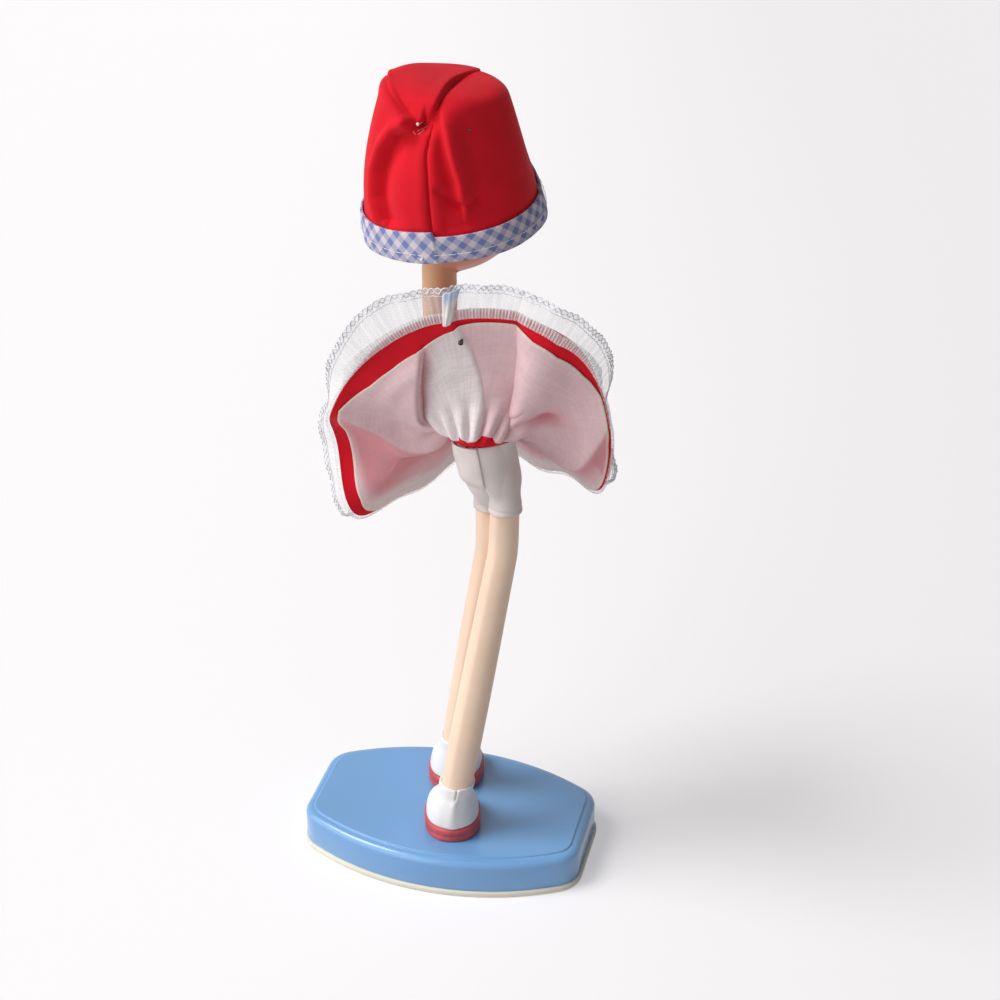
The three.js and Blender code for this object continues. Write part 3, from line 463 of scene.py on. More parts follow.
def organdy_paint(name, white, pink, cream, pitch_mm):
    """Sheer lining: white organdy, rosy where the red shows through, whose rosy tint also paints shade in its
    folds.
    """
    paint = Paint(name, Roughness=0.85, Specular_IOR_Level=0.25, Sheen_Weight=0.1)
    threads = weave(paint, pitch_mm)
    streak = paint.noise(260.0, 3.0)

    def drawn_out(along, across):
        """Noise drawn out along one set of threads."""
        inputs = {"Vector": paint.place("UV"), "Scale": (along, across, 1.0)}
        return paint.noise(1.0, 3.0, paint.add("ShaderNodeMapping", None, inputs))

    slub = (drawn_out(60.0, 700.0) + drawn_out(700.0, 60.0)).ramp(0.75, 1.25)
    # Rosy share: red showing through, plus painted shade in folds and creases and painted light low on the left
    near = paint.share("pink") + (streak - 0.5) * 0.16
    tone = paint.blend(near.ramp(0.0, 1.0), linear(white), linear(pink))
    tone = paint.blend(paint.share("edge"), tone, linear(cream))
    tone = paint.blend(slub * 0.28, tone, shade(white, 0.55))
    paint.set(Base_Color=paint.blend(threads * 0.2, tone, shade(white, 0.7)))
    paint.set(Normal=paint.bump(threads * 0.5 + slub * 0.9 + streak * 0.5, 0.6, 0.09))
    return paint.material


def gingham_paint(name, white, blue, check_mm):
    """Woven check cut on the bias: two sets of stripes at 45 degrees to the band."""
    paint = Paint(name, Roughness=0.9, Specular_IOR_Level=0.2)
    u, v, _ = paint.split(paint.place("UV"))
    count = TURN / (check_mm * MM * math.sqrt(2))
    soft = 0.25
    first = ((u + v) * count).sine().ramp(-soft, soft)
    second = ((u - v) * count).sine().ramp(-soft, soft)
    threads = ((u + v) * (count * 9)).sine() * ((u - v) * (count * 9)).sine()
    tone = paint.blend((first + second) * 0.5, linear(white), linear(blue))
    paint.set(Base_Color=paint.blend(threads * 0.1 + 0.1, tone, shade(white, 0.6)))
    paint.set(Normal=paint.bump(threads, 0.35, 0.07))
    return paint.material


def net_paint(name, color, pitch_mm):
    """Clear nylon net: fine crossing threads with open holes between them."""
    paint = Paint(name, Base_Color=linear(color), Roughness=0.45)
    u, v, _ = paint.split(paint.place("UV"))
    count = TURN / (pitch_mm * MM)
    first = ((u + v) * count).sine().ramp(0.55, 0.95)
    second = ((u - v) * count).sine().ramp(0.55, 0.95)
    threads = first.math("MAXIMUM", first, second)
    streak = ((u * (TURN / 0.0042)).sine() + (u * (TURN / 0.0027)).sine()) * 0.06
    paint.set(Alpha=threads * 0.2 + paint.share("dense") * 0.4 + streak + 0.27)
    return paint.material


def thread_paint(name, color, rough=0.5):
    """Thin thread or cord with a faint twist."""
    paint = Paint(name, Specular_IOR_Level=0.4)
    twist = paint.noise(1500.0, 1.0)
    paint.set(Base_Color=paint.blend(twist, shade(color, 0.88), shade(color, 1.05)))
    paint.set(Roughness=twist * 0.2 + rough)
    return paint.material


# Settings that a user may change

def colour_setting(name, about, default):
    """A display colour."""
    return bpy.props.FloatVectorProperty(
        name=name, description=about, subtype="COLOR_GAMMA", default=default)


def length_setting(name, about, default):
    """A length in metres."""
    return bpy.props.FloatProperty(name=name, description=about, subtype="DISTANCE", default=default)


def level_setting(name, about, default):
    """A plain number."""
    return bpy.props.FloatProperty(name=name, description=about, default=default)


class DollStandSettings(bpy.types.PropertyGroup):
    paint: colour_setting("Paint", "Gloss paint of the board", (0.46, 0.67, 0.88))
    plate: colour_setting("Plate", "Plate under the board", (0.92, 0.90, 0.83))
    peel: length_setting("Orange peel", "Depth of the paint's unevenness", 0.00004)


class DollFigureSettings(bpy.types.PropertyGroup):
    leg: colour_setting("Legs", "Vinyl of the legs and arms", (0.965, 0.85, 0.755))
    neck: colour_setting("Neck", "Vinyl of the neck", (0.925, 0.755, 0.59))
    head: colour_setting("Head", "Vinyl of the head", (0.97, 0.75, 0.63))
    blush: colour_setting("Blush", "Painted cheeks", (0.93, 0.50, 0.46))
    shoe: colour_setting("Shoe", "Shoe uppers", (0.935, 0.93, 0.93))
    sole: colour_setting("Sole", "Shoe soles", (0.78, 0.33, 0.34))
    hair: colour_setting("Hair", "Hair on the forehead", (0.34, 0.21, 0.14))


class DollDressSettings(bpy.types.PropertyGroup):
    red: colour_setting("Red cotton", "Dress and hat", (0.89, 0.085, 0.16))
    white: colour_setting("White cotton", "Bloomers", (0.90, 0.86, 0.845))
    organdy: colour_setting("Organdy", "Lining of the skirt", (0.97, 0.925, 0.93))
    # Rosy tint of red showing through the lining, also used for its painted shade
    organdy_pink_and_shade: colour_setting("Pink", "Lining with red close behind", (0.91, 0.56, 0.60))
    organdy_edge: colour_setting("Edge", "Edge of the lining", (0.95, 0.90, 0.84))
    cord: colour_setting("Lace cord", "Loops of the lace border", (0.92, 0.935, 0.96))
    lace: colour_setting("Lace", "Clear edging", (0.94, 0.93, 0.94))
    weave: length_setting("Weave", "Spacing of the cotton's threads", 0.00055)
    pleat: length_setting("Pleat", "Spacing of the pleats of the lace's heading", 0.00125)
    loop: length_setting("Loop", "Length of one loop of the lace's border", 0.0024)


class DollHatSettings(bpy.types.PropertyGroup):
    check_white: colour_setting("Check, light", "Light threads of the band", (0.90, 0.85, 0.885))
    check_blue: colour_setting("Check, blue", "Blue threads of the band", (0.44, 0.52, 0.75))
    check: length_setting("Check", "One light and one blue stripe of the band", 0.0048)
    stitch: length_setting("Stitch", "Length of the band's running stitches", 0.0022)


class DollStageSettings(bpy.types.PropertyGroup):
    floor: colour_setting("Floor", "Colour of the floor", (0.84, 0.83, 0.835))
    glow: colour_setting("Glow", "Light of the floor itself, seen by the camera only", (0.68, 0.675, 0.68))
    backdrop: colour_setting("Backdrop", "Colour past the floor's edge", (0.955, 0.945, 0.95))
    bounce: colour_setting("Bounce", "Light that the floor sends back", (0.84, 0.82, 0.82))
    key: level_setting("Key light", "Brightness of white that faces the side light", 0.50)
    fill: level_setting("Fill light", "Brightness of white that faces the wide light", 0.64)
    sky: level_setting("Surround", "Strength of the even light all round", 0.19)


# Stand

def barrel(inset):
    """Outline of the stand: bowed long sides, flat ends and round corners, arcs that meet in line."""
    sag = (BOARD_DEPTH - BOARD_END_DEPTH) / 2
    half = BOARD_LENGTH / 2
    side_r = (half**2 + sag**2) / (2 * sag)
    side_y = BOARD_DEPTH / 2 - side_r
    corner_x = half - BOARD_CORNER
    corner_y = side_y + math.sqrt((side_r - BOARD_CORNER) ** 2 - corner_x**2)
    meet = math.atan2(corner_y - side_y, corner_x)

    def arc(x, y, radius, start, end, count):
        a = np.linspace(start, end, count)
        return np.stack([x + radius * np.cos(a), y + radius * np.sin(a)], 1)

    upper = np.concatenate([
        arc(corner_x, corner_y, BOARD_CORNER - inset, 0, meet, 21)[:-1],
        arc(0, side_y, side_r - inset, meet, math.pi - meet, 81),
        arc(-corner_x, corner_y, BOARD_CORNER - inset, math.pi - meet, math.pi, 21)[1:],
    ])
    return np.concatenate([upper, -upper])


def stand_slab(profile):
    """Barrel rings that follow a profile of inset and height, closed by scaled rings at both ends."""
    rings = [np.column_stack([barrel(inset), np.full(len(barrel(inset)), z)]) for inset, z in profile]
    scales = (0.85, 0.5, 0.15)
    ends = [[ring * np.array([s, s, 1]) for s in scales] for ring in (rings[0], rings[-1])]
    return capped([*ends[0][::-1], *rings, *ends[1]])


class DOLL_OT_stand(bpy.types.Operator):
    """Painted barrel board with a moulded edge on a thin cream plate"""
    bl_idname = "doll.stand"
    bl_label = "Stand"

    def execute(self, context):
        look = context.scene.doll_stand
        ledge = BOARD_TOP - EDGE_STEP
        a = np.linspace(0, math.pi / 2, 14)
        moulding = np.column_stack([EDGE_ROUND * (1 - np.cos(a)), ledge + EDGE_ROUND * (np.sin(a) - 1)])
        inner = EDGE_ROUND + EDGE_STEP
        board = [(0.4, PLATE_THICK), (0.1, PLATE_THICK + 0.1), (0, PLATE_THICK + 0.4)]
        board += [(0, ledge - EDGE_ROUND - 1)]
        board += moulding.tolist()
        board += [(inner - 0.25, ledge + 0.02), (inner - 0.05, ledge + 0.1), (inner, ledge + 0.25),
                  (inner + 0.05, BOARD_TOP - 0.3), (inner + 0.15, BOARD_TOP - 0.1), (inner + 0.4, BOARD_TOP),
                  (inner + 1.0, BOARD_TOP), (inner + 4, BOARD_TOP)]
        blue = gloss_paint("blue_gloss_paint", look.paint, 0.24, look.peel / MM)
        piece = add_piece("stand_board", [stand_slab(board)], blue, "figure", closed=True)
        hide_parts("base_board")
        out = -PLATE_PROUD
        plate = [(out + 0.6, 0), (out + 0.15, 0.15), (out, 0.6), (out, PLATE_THICK - 0.6),
                 (out + 0.15, PLATE_THICK - 0.15), (out + 0.6, PLATE_THICK - 0.02)]
        cream = vinyl_paint("cream_plate", look.plate, 0.5)
        piece = add_piece("stand_plate", [stand_slab(plate)], cream, "figure", closed=True)
        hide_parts("base_plate")
        return {"FINISHED"}


# Legs and shoes

def leg_line(leg):
    """Middle line of a leg: straight runs joined by quadratic curves at the knee and the hip."""
    points = [np.array(leg[key], float) for key in ("ankle", "knee", "hip", "end")]
    line = [points[0]]
    for before, corner, after in zip(points[:-2], points[1:-1], points[2:]):
        start = corner + LEG_BEND * unit(before - corner)
        end = corner + LEG_BEND * unit(after - corner)
        t = np.linspace(0, 1, 9)[:, None]
        line += list((1 - t) ** 2 * start + 2 * t * (1 - t) * corner + t**2 * end)
    return np.array([*line, points[-1]])


def leg_middle(leg, height):
    """Points on a leg's middle line at heights above the board."""
    line = leg_line(leg)
    return np.stack([np.interp(height, line[:, 2], line[:, k]) for k in range(2)] + [height], -1)


def leg_radius(leg, height):
    """Ankle, calf and thigh radii joined by cubic steps."""
    low = SHOE_HEIGHT - COLLAR_SEAT
    share = np.clip((height - low) / (leg["hip"][2] - low), 0, 1)
    calf = mix(ANKLE_R, CALF_R, smooth(share / CALF_AT))
    return np.where(share < CALF_AT, calf, mix(CALF_R, THIGH_R, smooth((share - CALF_AT) / (1 - CALF_AT))))


class DOLL_OT_legs(bpy.types.Operator):
    """Long vinyl legs with a moulding seam, and the wires inside them"""
    bl_idname = "doll.legs"
    bl_label = "Legs"

    def execute(self, context):
        look = context.scene.doll_figure
        skin = vinyl_paint("leg_vinyl", look.leg, 0.5)
        steel = metal_paint("steel_wire", (0.68, 0.68, 0.68), 0.3)
        for name, leg in LEGS.items():
            height = np.linspace(SHOE_HEIGHT - COLLAR_SEAT, leg["hip"][2] + LEG_TUCK, 140)
            path = leg_middle(leg, height) + LIFT
            tube = sweep(path, leg_radius(leg, height), 56, reference=(0, 1, 0))
            a = np.linspace(0, TURN, 56, endpoint=False)
            middle = path[:, None]
            seam = 1 + 0.025 * bell(a - 1.25, 0.14) - 0.02 * bell(a - 1.75, 0.3)
            tube = middle + (tube - middle) * seam[None, :, None]
            piece = add_piece(f"{name}_leg_skin", [capped(tube)], skin, "figure",
                              closed=True)
            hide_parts(f"{name}_leg")
            paint_node(f"{name}_leg_wire", steel)
        return {"FINISHED"}


# Power of a shoe's outline: 1 is round and less is squarer
SHOE_SQUARE = 0.86


def shoe_ring(length, width, back, z, seam=0.0, power=SHOE_SQUARE, count=112):
    """Rounded-square ring of a shoe, wider at the toe, with a raised seam at the heel; power 1 is round."""
    a = np.linspace(0, TURN, count, endpoint=False)
    toe = 1 + 0.06 * np.maximum(0, -np.sin(a))

    def square(s):
        return np.sign(s) * np.abs(s) ** power

    ridge = seam * bell(a - math.pi / 2, 0.2)
    return np.stack([width / 2 * toe * square(np.cos(a)), back + (length / 2 + ridge) * square(np.sin(a)),
                     np.full(count, z)], -1)


def heading_turn(leg):
    """Matrix that turns a shoe to its heading."""
    c, s = math.cos(leg["heading"]), math.sin(leg["heading"])
    return np.array([(c, -s, 0), (s, c, 0), (0, 0, 1)])


def shoe_place(points, leg):
    """Turns a shoe to its heading and sets its ankle over the leg."""
    ankle = np.array([*leg["ankle"][:2], BOARD_TOP])
    return (points + np.array([0, -ANKLE_BACK, 0])) @ heading_turn(leg).T + ankle


def leg_lean(leg):
    """Function that gives the leg's offset from its ankle at a height, in the frame of its shoe."""
    turn = heading_turn(leg)

    def lean(height):
        offset = leg_middle(leg, np.array(max(height, leg["ankle"][2]))) - np.array(leg["ankle"])
        return (offset * np.array([1, 1, 0])) @ turn

    return lean


def sole_rings():
    """Sole with rounded edges and a shallow groove round its middle."""
    profile = [(1.6, 0), (0.7, 0.1), (0.2, 0.35), (0, 0.8), (0, 2.6), (0.25, 3.0), (0, 3.4), (0, 5.4),
               (0.2, 6.0), (0.8, 6.4), (1.6, SOLE_THICK)]
    rings = [shoe_ring(SHOE_LENGTH - 2 * inset, SHOE_WIDTH - 2 * inset, 0, z) for inset, z in profile]
    ends = [[ring * np.array([s, s, 1]) for s in (0.8, 0.3)] for ring in (rings[0], rings[-1])]
    return np.array([*ends[0][::-1], *rings, *ends[1]])


def upper_rings(lean):
    """Shoe upper: heel and toe draw in to the ankle collar, whose mouth leans and turns in to the leg."""
    collar = SHOE_HEIGHT - COLLAR_HEIGHT
    ankle = ANKLE_R + FIT + COLLAR_WALL
    length, width = SHOE_LENGTH - 2 * SOLE_LIP, SHOE_WIDTH - 2 * SOLE_LIP
    rings = [shoe_ring(length - 1.2, width - 1.2, 0, SOLE_THICK)]
    for share in np.linspace(0, 1, 22):
        narrow = share**UPPER_TAPER
        height = mix(SOLE_THICK + 0.1, collar, share)
        long, wide = mix(length, 2 * ankle, narrow), mix(width, 2 * ankle, narrow)
        ring = shoe_ring(long, wide, ANKLE_BACK * narrow, height, HEEL_SEAM, mix(SHOE_SQUARE, 1.0, narrow))
        rings.append(ring + lean(height) * narrow)
    a = np.linspace(0, TURN, len(rings[0]), endpoint=False)
    slit = bell(a - math.pi / 2, 0.05)
    mouth = [(-0.05, 0.7), (-0.12, 1.6), (-0.05, 3.0), (0.05, 4.8), (0.05, 5.7), (-0.1, 6.0), (-0.45, 6.1),
             (-0.85, 5.95), (-1.05, 5.4), (-1.1, 3.2)]
    for grow, up in mouth:
        wide = 2 * (ankle + grow)
        ring = shoe_ring(wide, wide, ANKLE_BACK, collar + up, HEEL_SEAM * 0.6, 1.0)
        cut = slit * smooth(up / 3)
        ring[:, 1] -= 0.9 * cut
        ring[:, 2] -= 0.5 * cut * (grow > -0.5)
        rings.append(ring + lean(collar + up))
    return np.array(rings)


class DOLL_OT_shoes(bpy.types.Operator):
    """White shoe uppers with ankle collars on red soles"""
    bl_idname = "doll.shoes"
    bl_label = "Shoes"

    def execute(self, context):
        look = context.scene.doll_figure
        white = Paint("white_shoe", Specular_IOR_Level=0.4)
        crease = white.noise(240.0, 4.0)
        scuff = white.noise(60.0).ramp(0.45, 0.8)
        white.set(Base_Color=white.blend(scuff, linear(look.shoe), shade(look.shoe, 0.93)))
        white.set(Roughness=crease * 0.2 + 0.4, Normal=white.bump(crease, 0.4, 0.12))
        red = Paint("red_sole", Specular_IOR_Level=0.4)
        rub = red.noise(160.0, 5.0)
        red.set(Base_Color=red.blend(rub.ramp(0.35, 0.7), shade(look.sole, 0.82), shade(look.sole, 1.25)))
        red.set(Roughness=rub * 0.3 + 0.35, Normal=red.bump(rub, 0.4, 0.15))
        for name, leg in LEGS.items():
            sole = shoe_place(sole_rings(), leg)
            piece = add_piece(f"{name}_shoe_sole", [capped(sole)], red.material, "figure",
                              closed=True)
            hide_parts(f"{name}_sole")
            upper = shoe_place(upper_rings(leg_lean(leg)), leg) + np.array([0, 0, FIT])
            piece = add_piece(f"{name}_shoe_upper", [patch(upper, wrap_cols=True)], white.material, "figure",
                              closed=True)
            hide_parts(f"{name}_shoe")
        return {"FINISHED"}


# Body, bodice and bloomers

def torso_share(height):
    """Share of the torso's curve at heights above the board."""
    t = np.linspace(0, 1, 1001)
    return np.interp(height, catmull(TORSO, t, power=0)[:, 2], t)


def torso_surface(height, angle, grow):
    """Level elliptical sections along the lean of the body, grown by some thickness."""
    section = catmull(TORSO, torso_share(height), power=0)
    x = section[..., 0] + (section[..., 3] + grow) * np.sin(angle)
    y = section[..., 1] + (section[..., 4] + grow) * np.cos(angle)
    return np.stack([x, y, np.broadcast_to(height, x.shape)], -1) + LIFT


def turn_grid(heights, count):
    """Heights and angles as a grid."""
    return grid(heights, np.linspace(0, TURN, count, endpoint=False))


class DOLL_OT_body(bpy.types.Operator):
    """Stuffed torso, neck tube and the dowel inside them"""
    bl_idname = "doll.body"
    bl_label = "Body"

    def execute(self, context):
        look = context.scene.doll_figure
        cotton = cloth_paint("body_cotton", context.scene.doll_dress.white, 0.6)
        height, angle = turn_grid(np.linspace(TORSO[0, 2], COLLAR[2], 60), 64)
        piece = add_piece("stuffed_torso", [capped(torso_surface(height, angle, -0.1))],
                          cotton, "figure", closed=True)
        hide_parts("torso")
        beige = vinyl_paint("beige_neck", look.neck, 0.5, patchy=0.05)
        up = np.array([0.0, 0.15, 0.5, 3, 7, 11, 14.5, 20.0, 25.0, NECK_LENGTH + NECK_TUCK])
        round_in = np.array([0.6, 0.2, 0, 0, -0.08, -0.08, 0, 0, 0.2, 0.6])
        path = COLLAR + LIFT + np.array([0, 0, FIT]) + up[:, None] * np.array([0, 0, 1])
        tube = sweep(path, NECK_R - round_in, 72, reference=(0, 1, 0))
        piece = add_piece("neck_tube", [capped(tube)], beige, "figure",
                          closed=True)
        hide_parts("neck")
        wood = Paint("dowel_wood", Roughness=0.7)
        grain = wood.noise(300.0, 4.0)
        wood.set(Base_Color=wood.blend(grain, linear((0.78, 0.62, 0.42)), linear((0.88, 0.76, 0.57))))
        paint_node("neck_dowel", wood.material)
        return {"FINISHED"}


def wrinkle(x, y, z, size):
    """Soft creases: a sum of slanted sine waves."""
    return (np.sin((x + 0.6 * z) / size) * np.sin((y - 0.5 * z) / (1.3 * size))
            + 0.6 * np.sin((0.7 * x - 0.4 * y + z) / (0.8 * size) + 1.3)) / 1.6


class DOLL_OT_bodice(bpy.types.Operator):
    """Red top of the dress, from the waist seam to the neckline"""
    bl_idname = "doll.bodice"
    bl_label = "Bodice"

    def execute(self, context):
        look = context.scene.doll_dress
        red = cloth_paint("red_cotton_bodice", look.red, look.weave / MM)
        heights = np.linspace(WAIST[2] - BODICE_TUCK, COLLAR[2] - NECKLINE_DROP, 80)
        height, angle = turn_grid(heights, 160)
        points = torso_surface(height, angle, FIT + BODICE_EASE + CLOTH / 2)
        share = (height - heights[0]) / (heights[-1] - heights[0])
        gather = 0.35 * np.sin(angle * 22 + 3 * np.sin(angle)) * (1 - smooth(share / 0.3))
        fold = 0.3 * wrinkle(points[..., 0], points[..., 1], points[..., 2], 3.0) * np.sin(math.pi * share)
        edge = 0.35 * bell(share - 0.955, 0.03) - 1.3 * (1 - smooth(share / 0.09))
        out = level_out(angle)
        points = points + out * (gather + fold + edge + 0.35)[..., None]
        piece = add_piece("dress_bodice", [patch(points, wrap_cols=True, flat=BODICE_FLAT)], red, "figure",
                          thick=CLOTH)
        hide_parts("bodice")
        return {"FINISHED"}


def bloomers_half(leg, rows=64, cols=120):
    """Half of the bloomers: a D-shaped section on the seat that draws in to a round leg below."""
    side = leg["side"]
    top, hem = WAIST[2] - BLOOMERS_DROP, leg["hip"][2] - BLOOMERS_LEG
    height, angle = turn_grid(np.linspace(top, hem, rows), cols)
    seat_at = np.maximum(height, TORSO[0, 2] + 1.0)
    seat = torso_surface(seat_at, angle, FIT + CLOTH / 2 + 0.4) - LIFT
    middle = catmull(TORSO, torso_share(seat_at), power=0)[..., 0] + 0.9
    seat[..., 0] = middle + side * np.maximum(side * (seat[..., 0] - middle), -1.6 if side > 0 else -0.35)
    seat[..., 2] = height
    radius = leg_radius(leg, height) + BLOOMERS_EASE
    axis = leg_middle(leg, height)
    flare = 0.1 * smooth((leg["hip"][2] - height) / BLOOMERS_LEG)
    out = level_out(angle)
    tube = axis + (radius + flare)[..., None] * out
    down = (top - height) / (top - hem)
    points = mix(seat, tube, smooth((down - 0.42) / 0.4)[..., None])
    reach = points - axis
    far = np.linalg.norm(reach, axis=-1)
    points = axis + reach * (np.maximum(far, radius) / np.maximum(far, 0.01))[..., None]
    crease = 0.3 * wrinkle(points[..., 0], points[..., 1], points[..., 2], 2.6)
    hemline = 0.35 * bell(down - 0.93, 0.02)
    lap = 0.7 * bell(wrapped(angle + 0.1), 0.4) * (side > 0)
    points[..., 2] += (WAIST_TILT - WAIST_SLOPE * (points[..., 0] - WAIST[0])) * smooth(1 - down / 0.6)
    return points + out * (crease - hemline + lap)[..., None] + LIFT


class DOLL_OT_bloomers(bpy.types.Operator):
    """White cotton bloomers: two halves that meet in a lapped seam at the back"""
    bl_idname = "doll.bloomers"
    bl_label = "Bloomers"

    def execute(self, context):
        look = context.scene.doll_dress
        cotton = cloth_paint("white_cotton", look.white, look.weave / MM, patchy=0.04)
        for name, leg in LEGS.items():
            points = bloomers_half(leg)
            piece = add_piece(f"{name}_bloomers_half", [patch(points, wrap_cols=True, flat=BLOOMERS_FLAT)],
                              cotton, "figure", thick=SHOWN_CLOTH)
            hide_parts("bloomers")
        return {"FINISHED"}


# Skirt

HEM_SHARES = np.linspace(0, 1, 2401)
HEM_LENGTHS = np.concatenate([[0], np.cumsum(np.linalg.norm(
    np.diff(catmull(HEM, np.minimum(HEM_SHARES, 1 - 1e-9), True), axis=0), axis=1))])


def hem_point(around):
    """Closed curve through the hem's points, at equal shares of its length."""
    length = np.mod(around, 1) * HEM_LENGTHS[-1]
    return catmull(HEM, np.interp(length, HEM_LENGTHS, HEM_SHARES) % 1, True) + WAIST + LIFT


def waist_point(around):
    """Ring outside the bodice where the skirt is gathered."""
    a = TURN * np.asarray(around)
    ease = FIT + BODICE_EASE + CLOTH + FIT + LINING + LAYER_GAP
    wide, deep = TORSO[2, 3] + ease, TORSO[2, 4] + ease
    return np.stack([wide * np.sin(a), deep * np.cos(a), np.zeros_like(a)], -1) + WAIST + LIFT


def ruled(around, down):
    """Straight line from the waist ring to the hem."""
    return mix(waist_point(around), hem_point(around), np.asarray(down)[..., None])


# Fold lines on the cloth as (share of the way round, share of the way down), from the waist to the hem.
# Around 0 is the back and grows towards the doll's left.
DEEP_FOLD = [(0.205, 0.06), (0.181, 0.22), (0.130, 0.36), (0.094, 0.55), (0.075, 0.68), (0.062, 0.80)]
RIGHT_FOLD = [(-0.150, 0.06), (-0.098, 0.24), (-0.069, 0.43), (-0.053, 0.65), (-0.043, 0.88), (-0.040, 1.0)]
BACK_LAP = [(-0.020, 0.08), (-0.021, 0.19), (-0.015, 0.34), (0.0, 0.55), (0.008, 0.70), (0.019, 0.88),
            (0.021, 1.0)]
LEFT_CREASE = [(0.380, 0.05), (0.368, 0.20), (0.321, 0.38), (0.267, 0.52), (0.226, 0.70), (0.201, 0.93),
               (0.197, 1.0)]
RIGHT_CREASE = [(-0.390, 0.10), (-0.375, 0.40), (-0.317, 0.68), (-0.257, 0.78), (-0.206, 0.98), (-0.200, 1.0)]
# Slide that makes the deep fold overhang, and the half width that it works over
SLIDE, SLIDE_HALF = 0.022, 0.015
# Soft folds at the front: share of the way round, half width and height in millimetres
FRONT_FOLDS = [(0.43, 0.025, -3.0), (0.50, 0.025, 3.0), (0.57, 0.025, -3.0)]


def fold_gap(around, down, line):
    """Share of the way round from a fold line, at the same share of the way down; its corners are rounded."""
    places, depths = zip(*line)
    near = [np.interp(down + shift, depths, places) for shift in np.linspace(-0.07, 0.07, 7)]
    return away(around, np.mean(near, axis=0))


def lap_step(gap, width, raised, dipped, raised_half, dipped_half):
    """Edge of cloth that laps over: raised on the positive side, dipped on the negative side."""
    over = 0.5 + 0.5 * np.tanh(gap / width)
    return mix(dipped * bell(gap, dipped_half), -raised * bell(gap, raised_half), over)


def crease(gap):
    """Sharp ridge of height 1 with a slightly rounded top."""
    tip = 0.006
    return np.exp(-(np.hypot(gap, tip) - tip) / 0.035)


def fold_slide(around, down):
    """Slide of the cloth along the way round that makes the deep fold overhang."""
    deep = fold_gap(around, down, DEEP_FOLD) / SLIDE_HALF
    reach = smooth(down / 0.3) * (1 - smooth((down - 0.62) / 0.2))
    return -SLIDE * reach * deep * np.exp(-(deep**2))


def skirt_folds(around, down):
    """Height of the folds towards the red side: lapped edges, sharp creases, pouches and waist gathers."""
    grown = smooth(down / 0.3)
    deep = fold_gap(around, down, DEEP_FOLD)
    right = fold_gap(around, down, RIGHT_FOLD)
    lap = fold_gap(around, down, BACK_LAP)
    left_crease = fold_gap(around, down, LEFT_CREASE)
    right_crease = fold_gap(around, down, RIGHT_CREASE)
    # Deep fold that laps over the middle, and the valley of the fold to its right, with one steep wall
    height = lap_step(deep, 0.003, 3.6, 2.6, 0.07, 0.028) * grown * (1 - smooth((down - 0.6) / 0.25))
    valley = np.exp(-(np.hypot(right, 0.002) - 0.002) / np.where(right > 0, 0.045, 0.0075))
    height += 6.2 * valley * grown * (1 - 0.6 * smooth((down - 0.6) / 0.36))
    # Lap at the centre back
    height += lap_step(lap, 0.0015, 0.5, 0.3, 0.02, 0.02) * smooth(down / 0.15)
    # Sharp creases of the side panels and the hollows past them
    height -= 4.5 * grown * crease(left_crease)
    height += 3.0 * grown * bell(left_crease - 0.065, 0.04)
    height -= 4.0 * grown * crease(right_crease) * (1 - 0.6 * smooth((down - 0.75) / 0.25))
    height += 2.5 * grown * bell(right_crease + 0.065, 0.04)
    # Pouch and tuck at the right of the waist, and the bellies of the side panels
    pouch = away(around, -0.167) + 0.11 * (down - 0.29)
    height += 3.6 * bell(pouch, 0.02) * bell(down - 0.42, 0.15)
    height += 2.2 * bell(away(around, -0.119), 0.006) * bell(down - 0.22, 0.07)
    height -= 4.5 * bell(right + 0.04, 0.045) * bell(down - 0.66, 0.3)
    height -= 3.5 * bell(away(around, 0.150), 0.045) * bell(down - 0.70, 0.28)
    for at, half, depth in FRONT_FOLDS:
        height += depth * grown * bell(away(around, at), half)
    # Gathers at the waist, and a faint unevenness all over
    ripple = np.sin(TURN * (15 * around + 0.6 * np.sin(TURN * 2 * around)))
    height += 1.3 * ripple * bell(down - 0.12, 0.14) * smooth(down / 0.07)
    first = np.sin(TURN * (9 * around + 2.2 * down))
    second = np.sin(TURN * (3.1 * down - 4 * around))
    height += 0.2 * first * second * grown
    return height


def folded(around, down):
    """Ruled sheet, bellied and folded along its normal, and slid so that the deep fold overhangs."""
    cap = np.minimum(down, 1)
    high = SKIRT_PUFF * np.sin(math.pi * np.clip(cap, 0, 1)) + skirt_folds(around, cap)
    slid = around + fold_slide(around, cap)
    return ruled(slid, down) + normals(ruled, slid, np.maximum(down, 0.3)) * high[..., None]


def skirt_surface(around, down, off):
    """Folded sheet set off along its own normal towards the red side."""
    return folded(around, down) + off * normals(folded, around, np.clip(down, 0.1, 0.99), 0.0015)


# Distance of the lining and of the lace's heading from the middle of the red cloth, in millimetres
LINING_OFF, HEADING_OFF = -0.85, -1.25
# Edge of the lining: share of the way round and share of the way down
LINING_EDGE = np.array([
    (-0.50, 0.985), (-0.33, 0.985), (-0.27, 0.98), (-0.235, 0.97), (-0.20, 0.985), (-0.17, 0.985),
    (-0.151, 0.945), (-0.136, 0.902), (-0.094, 0.824), (-0.065, 0.841), (-0.045, 0.895), (-0.04, 0.905),
    (0.0, 0.90), (0.018, 0.885), (0.022, 0.862), (0.033, 0.85), (0.073, 0.775), (0.109, 0.775),
    (0.145, 0.815), (0.170, 0.88), (0.193, 0.945), (0.205, 0.93), (0.242, 0.888), (0.295, 0.891),
    (0.332, 0.905), (0.35, 0.95), (0.37, 0.985), (0.50, 0.985),
])
# Inner edge of the pleated heading, past the hem where it is above 1
HEADING_EDGE = np.array([
    (-0.50, 1.03), (-0.165, 1.02), (-0.121, 0.957), (-0.086, 0.90), (-0.043, 0.945), (0.02, 0.943),
    (0.043, 0.958), (0.093, 0.963), (0.124, 0.985), (0.157, 1.0), (0.18, 1.03), (0.50, 1.03),
])
HEADING_WIDTH = 4.4
